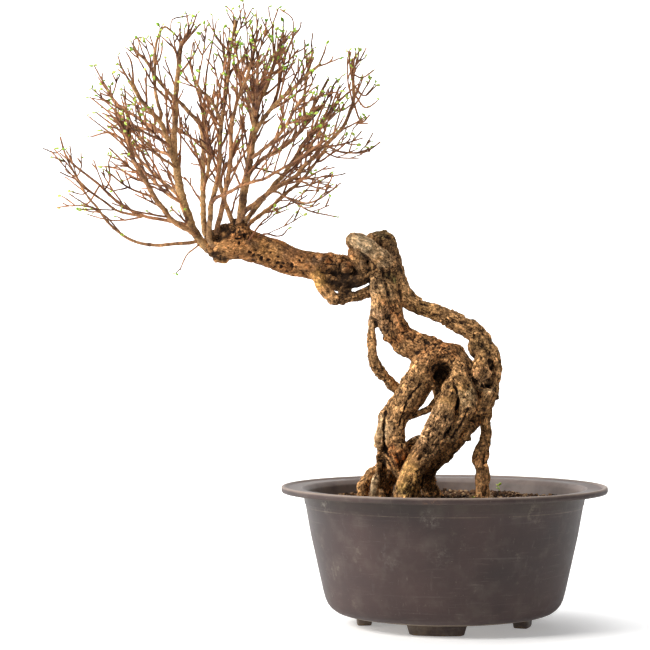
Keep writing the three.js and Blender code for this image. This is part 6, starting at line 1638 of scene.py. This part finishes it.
def pot_piece():
    """The turned pot with its drain holes, and its feet."""
    shape = Shape()
    turned(shape, rounded(pot_outline(), CORNER_REACH, LOW_CORNER_REACH), POT_STEPS)
    obj = make_object("pot_body", shape.points(), shape.faces, pot_material())
    cutter = drain_cutter(obj.data.materials[0])
    cut = obj.modifiers.new("drain", "BOOLEAN")
    cut.object = cutter
    cut.solver = "EXACT"
    applied(obj)
    bpy.data.objects.remove(cutter)
    obj.data.shade_smooth()
    points, _ = mesh_arrays(obj.data)
    normals = np.empty(len(points) * 3, np.float32)
    obj.data.vertices.foreach_get("normal", normals)
    outwards = (normals.reshape(-1, 3)[:, :2] * points[:, :2]).sum(1)
    # Faces that look to the axis, which the pot's material lightens as painted light
    store(obj, "inner_wall", 1.0 * (outwards < -30))
    feet = Shape()
    for k in range(FOOT_COUNT):
        foot_block(feet, -math.pi / 2 + FOOT_TURN + k * 2 * math.pi / FOOT_COUNT)
    blocks = make_object("pot_feet", feet.points(), feet.faces, pot_material("pot_foot", 0.85))
    add_piece(obj, ["pot"])
    add_piece(blocks, [])


def pot_material(name="pot_plastic_look", dirt=0.0):
    """Dark plastic under layers of wear, flow lines, dust and stains, each with its mask, and painted shade
    under the rim, painted highlights on the rim's top and lip and painted light on the inner wall.
    """
    m = Nodes(name, 0.55, 0.32)
    place = m.place()
    mottle = m.noise(place, 14, 4, 0.55)
    cloudy = m.noise(place, 55, 3, 0.6)
    brushed = m.noise(m.scaled(place, (1, 1, 0.08)), 190, 4, 0.7)
    rings = m.noise(m.scaled(place, (0.04, 0.04, 1)), 320, 3, 0.7)
    scratch = m.noise(m.scaled(place, (1.0, 1.0, 0.25)), 70, 8, 0.85)
    lines = m.noise(m.scaled(m.warped(place, 9, 0.004), (0.05, 0.05, 1)), 700, 4, 0.8)
    scuffs = m.noise(m.scaled(m.warped(place, 12, 0.01), (1, 1, 0.12)), 420, 4, 0.8)
    dust = m.noise(place, 30, 6, 0.75)
    specks = m.noise(place, 800, 3, 0.6)
    worn = m.ramp(m.noise(place, 40, 5, 0.7), (0.4, 0), (0.58, 1))
    crumbs = m.ramp(m.noise(place, 260, 5, 0.7), (0.5, 0), (0.6, 1))
    patchy = m.ramp(m.noise(place, 170, 6, 0.8), (0.48, 0), (0.64, 0.55))
    height = m.new("ShaderNodeSeparateXYZ")
    m.set(height.inputs[0], place)
    level = m.both(height.outputs["Z"], 1 / (RAMP_HEIGHT * MM))
    shade = m.ramp(level, (0.80, 0), (0.865, 0.45), (0.915, 0.6), (0.925, 0))
    top = m.ramp(level, (0.936, 0), (0.95, 0.75))
    lip = m.ramp(level, (0.9455, 0), (0.949, 0.7), (0.956, 0.7))
    ledge = m.ramp(level, (0.8135, 0), (0.8155, 0.3), (0.8165, 0.3), (0.8185, 0))
    seam = m.ramp(level, (0.070, 0.3), (0.078, 0.75), (0.088, 0.6), (0.096, 0))
    low = m.ramp(level, (0.0, 0.95), (0.012, 0.7), (0.022, 0.15), (0.1, 0.0))
    layers = [
        (m.ramp(cloudy, (0.5, 0), (0.75, 0.35)), (88, 80, 73)),
        (m.ramp(brushed, (0.6, 0), (0.78, 0.4)), (98, 88, 84)),
        (m.ramp(rings, (0.62, 0), (0.76, 0.35)), (96, 86, 82)),
        (m.ramp(scratch, (0.66, 0), (0.71, 0.7)), (128, 118, 106)),
        (m.both(m.ramp(lines, (0.6, 0), (0.68, 0.35)), cloudy), (126, 112, 106)),
        (m.both(m.ramp(scuffs, (0.62, 0), (0.7, 0.38)), mottle), (128, 116, 108)),
        (m.both(m.ramp(dust, (0.6, 0), (0.72, 0.6)), cloudy), (132, 124, 108)),
        (m.ramp(specks, (0.7, 0), (0.76, 0.5)), (150, 138, 122)),
        (m.both(shade, cloudy), (62, 54, 42)),
        # Painted highlights: the top of the rim and its lip are lighter.
        (m.both(top, m.ramp(cloudy, (0.3, 0.5), (0.6, 1))), (122, 106, 98)),
        (m.both(lip, m.ramp(cloudy, (0.3, 0.6), (0.6, 1))), (150, 134, 122)),
        # Painted light on the faces that look to the axis, where the rim shades them.
        (m.both(m.attribute("inner_wall"), m.ramp(cloudy, (0.3, 0.45), (0.6, 0.8))), (124, 110, 103)),
        (m.both(m.math("ADD", ledge, seam), worn), (150, 134, 112)),
        (m.both(low, crumbs), (104, 82, 54)),
    ]
    layers += [(m.both(m.spot(place, point, reach), patchy), stain) for point, reach, stain in STAINS]
    color = m.mix(m.ramp(mottle, (0.35, 0), (0.68, 1)), srgb(47, 35, 33), srgb(69, 53, 50))
    for mask, over in layers:
        color = m.mix(mask, color, srgb(*over))
    m.color(color)
    m.roughness(m.ramp(mottle, (0.3, 0.48), (0.7, 0.66)))
    m.bump(m.mix(0.5, brushed, m.noise(place, 900, 3)), 0.12 + dirt * 0.3, 0.0004)
    return m.material


# Soil: a grainy bed of loose crumbs

def root_columns():
    """Middle and radius of each root where it meets the soil."""
    out = []
    for route in WOOD.values():
        path = spline(route, 3)
        near = path[np.abs(path[:, 2] - SOIL_LEVEL) < 9]
        out += [(p[:2], p[3]) for p in near]
    return out


def soil_height(x, y):
    """Height of the mound and its small swellings."""
    r = np.hypot(x, y)
    p = np.stack([x, y, np.zeros_like(x)], -1)
    swell = 1.4 * noise(p / 17, 70) + 0.9 * noise(p / 6, 71) + 0.5 * noise(p / 2.5, 72)
    mound = SOIL_MOUND * (1 - (r / SOIL_RADIUS) ** 2)
    return SOIL_LEVEL - 1.2 + mound + swell * smoothstep(SOIL_RADIUS, 100, r)


def on_soil(x, y):
    """The point of the mound above one place."""
    return np.array([x, y, soil_height(np.array([x], float), np.array([y], float))[0]])


def random_turn(rng):
    """A random turn in space."""
    q, _ = np.linalg.qr(rng.normal(size=(3, 3)))
    return q * np.sign(np.linalg.det(q))


def soil_mound(shape):
    """The mound and its side that follows the pot's wall, in one closed skin."""
    radius = SOIL_RADIUS * np.linspace(0, 1, SOIL_RINGS + 1)[1:]
    top = around_axis(np.column_stack([radius, np.zeros(SOIL_RINGS)]), SOIL_STEPS)
    top[:, 2] = soil_height(top[:, 0], top[:, 1])
    side = around_axis(np.array(SOIL_SIDE, float), SOIL_STEPS)
    verts = np.vstack([top, side, on_soil(0, 0), [0, 0, SOIL_SIDE[-1][1]]])
    shape.add(verts, closed_rings(SOIL_RINGS + len(SOIL_SIDE), SOIL_STEPS, flip=True), BED_TONE)


def add_grains(shape):
    """Loose crumbs on the mound, with none inside a root."""
    rng = np.random.default_rng(77)
    roots = root_columns()
    for _ in range(GRAIN_COUNT):
        r, a = (SOIL_RADIUS - 2.5) * math.sqrt(rng.random()), rng.uniform(0, 2 * math.pi)
        spot = np.array([r * math.cos(a), r * math.sin(a)])
        if any(np.hypot(*(spot - middle)) < size - 0.5 for middle, size in roots):
            continue
        size = rng.uniform(*GRAIN_SIZE) * np.array([1, rng.uniform(0.7, 1), rng.uniform(0.55, 0.9)])
        crumb = CRUMB * rng.uniform(0.8, 1.2, (12, 1)) * size @ random_turn(rng).T
        lifted = on_soil(*spot) + np.array([0, 0, size[2] * rng.uniform(0.1, 0.6)])
        shape.add(crumb + lifted, CRUMB_FACES, rng.uniform(0.2, 1))


def soil_piece():
    """The bed of soil in the pot."""
    shape = Shape()
    soil_mound(shape)
    add_grains(shape)
    shape_piece("soil_bed", shape, soil_material(), "tone", ["soil"], smooth=False)


def soil_material():
    """Damp dark earth with paler and redder grains."""
    m = Nodes("soil_crumbs", 0.95, 0.1)
    tone = m.attribute("tone")
    color = m.ramp(
        tone, (0.0, srgb(24, 17, 12)), (0.3, srgb(48, 35, 25)), (0.5, srgb(72, 51, 36)),
        (0.72, srgb(100, 74, 53)), (0.9, srgb(168, 138, 104)), (1.0, srgb(84, 46, 28)),
    )
    fine = m.noise(m.place(), 900, 5, 0.7)
    m.color(m.shaded(color, fine, (0.3, 0.6), (0.7, 1.35)))
    m.bump(fine, 0.6, 0.0005)
    return m.material


# Small plants on the soil

def seedling_piece():
    """A tiny green seedling behind the roots and a tuft at the foot of the right leg."""
    rng = np.random.default_rng(5)
    leaves = Shape()
    base = on_soil(*SEEDLING)
    stem = spline([(*base, 0.35), (*(base + [0.5, 0, 4]), 0.3), (*(base + [-0.6, 0, 8]), 0.25)], 1)
    tube(leaves, stem, 6, value=0.3)
    for share, side in ((0.55, -1), (0.9, -1), (1.0, 1)):
        point, _, _ = at_share(stem, share)
        leaf(leaves, point, unit(np.array([side, -0.3, 0.6])), rng.uniform(2.6, 3.8), rng)
    for _ in range(TUFT["leaves"]):
        foot = on_soil(*(np.array(TUFT["middle"]) + rng.normal(size=2) * TUFT["spread"]))
        leaf(leaves, foot, unit(rng.normal(size=3) * 0.5 + [0, -0.2, 1]), rng.uniform(2, 3.6), rng)
    shape_piece("seedling", leaves, leaf_material(), "tone", [])


# Stage, lights and camera

def stage_piece():
    """A pale floor that turns up into a pale backdrop."""
    width, near, far, rise, corner, steps = 3.2, -2.6, 3.5, 2.6, 0.9, 16
    profile = [(near, 0)]
    for k in range(steps + 1):
        a = math.pi / 2 * k / steps
        profile.append((far - corner + corner * math.sin(a), corner - corner * math.cos(a)))
    profile.append((far, rise))
    verts = [(x, y, z) for y, z in profile for x in (-width, width)]
    faces = [(2 * i, 2 * i + 1, 2 * i + 3, 2 * i + 2) for i in range(len(profile) - 1)]
    mesh = bpy.data.meshes.new("floor")
    mesh.from_pydata(verts, [], faces)
    m = Nodes("pale_floor", 0.9, 0.0)
    paper = m.noise(m.place(), 6, 2)
    m.color(m.ramp(paper, (0.3, srgb(246, 246, 246)), (0.7, srgb(249, 249, 249))))
    m.shader.inputs["Emission Color"].default_value = (1, 1, 1, 1)
    m.shader.inputs["Emission Strength"].default_value = 0.3
    mesh.materials.append(m.material)
    mesh.shade_smooth()
    floor = bpy.data.objects.new("floor", mesh)
    bpy.context.scene.collection.objects.link(floor)


def area_light(name, place, target, size, watts, color=(1, 1, 1)):
    """A flat light at a place, turned to its target."""
    light = bpy.data.lights.new(name, "AREA")
    light.shape = "RECTANGLE"
    light.size, light.size_y = size
    light.energy = watts
    light.color = color
    obj = bpy.data.objects.new(name, light)
    obj.location = place
    obj.rotation_euler = (Vector(target) - Vector(place)).to_track_quat("-Z", "Y").to_euler()
    bpy.context.scene.collection.objects.link(obj)


def lights():
    """A bright key light from the left, in a white room."""
    middle = (0, 0, 0.25)
    area_light("key", (-1.8, -1.0, 1.5), middle, (0.9, 0.9), 58, (1, 0.98, 0.95))
    area_light("side", (-2.2, 0.3, 0.5), middle, (1.2, 1.4), 38)
    area_light("fill", (1.8, -1.6, 0.9), middle, (1.4, 1.2), 1)
    area_light("top", (0.1, 0.1, 2.3), middle, (1.4, 1.4), 26)
    area_light("backdrop", (0, 1.3, 2.3), (0, 3.4, 0.6), (2.6, 0.8), 90)
    world = bpy.data.worlds.new("white_room")
    world.use_nodes = True
    world.node_tree.nodes["Background"].inputs[0].default_value = (1, 1, 1, 1)
    world.node_tree.nodes["Background"].inputs[1].default_value = 0.14
    bpy.context.scene.world = world


def camera():
    """A level camera in front of the object, as in the photo."""
    data = bpy.data.cameras.new("camera")
    data.lens = CAMERA_LENS
    data.sensor_width = 36
    obj = bpy.data.objects.new("camera", data)
    obj.location = (AXIS[0] + CAMERA_OFFSET, AXIS[1] - CAMERA_DISTANCE, CAMERA_HEIGHT)
    obj.rotation_euler = (math.pi / 2, 0, 0)
    bpy.context.scene.collection.objects.link(obj)
    bpy.context.scene.camera = obj


camera()
stage_piece()
lights()
pot_piece()
soil_piece()
seedling_piece()
wood = wood_body()
carve_bark(wood)
add_piece(wood, ["trunk_and_roots"])
crown_pieces()
bpy.context.scene.view_settings.view_transform = "Standard"
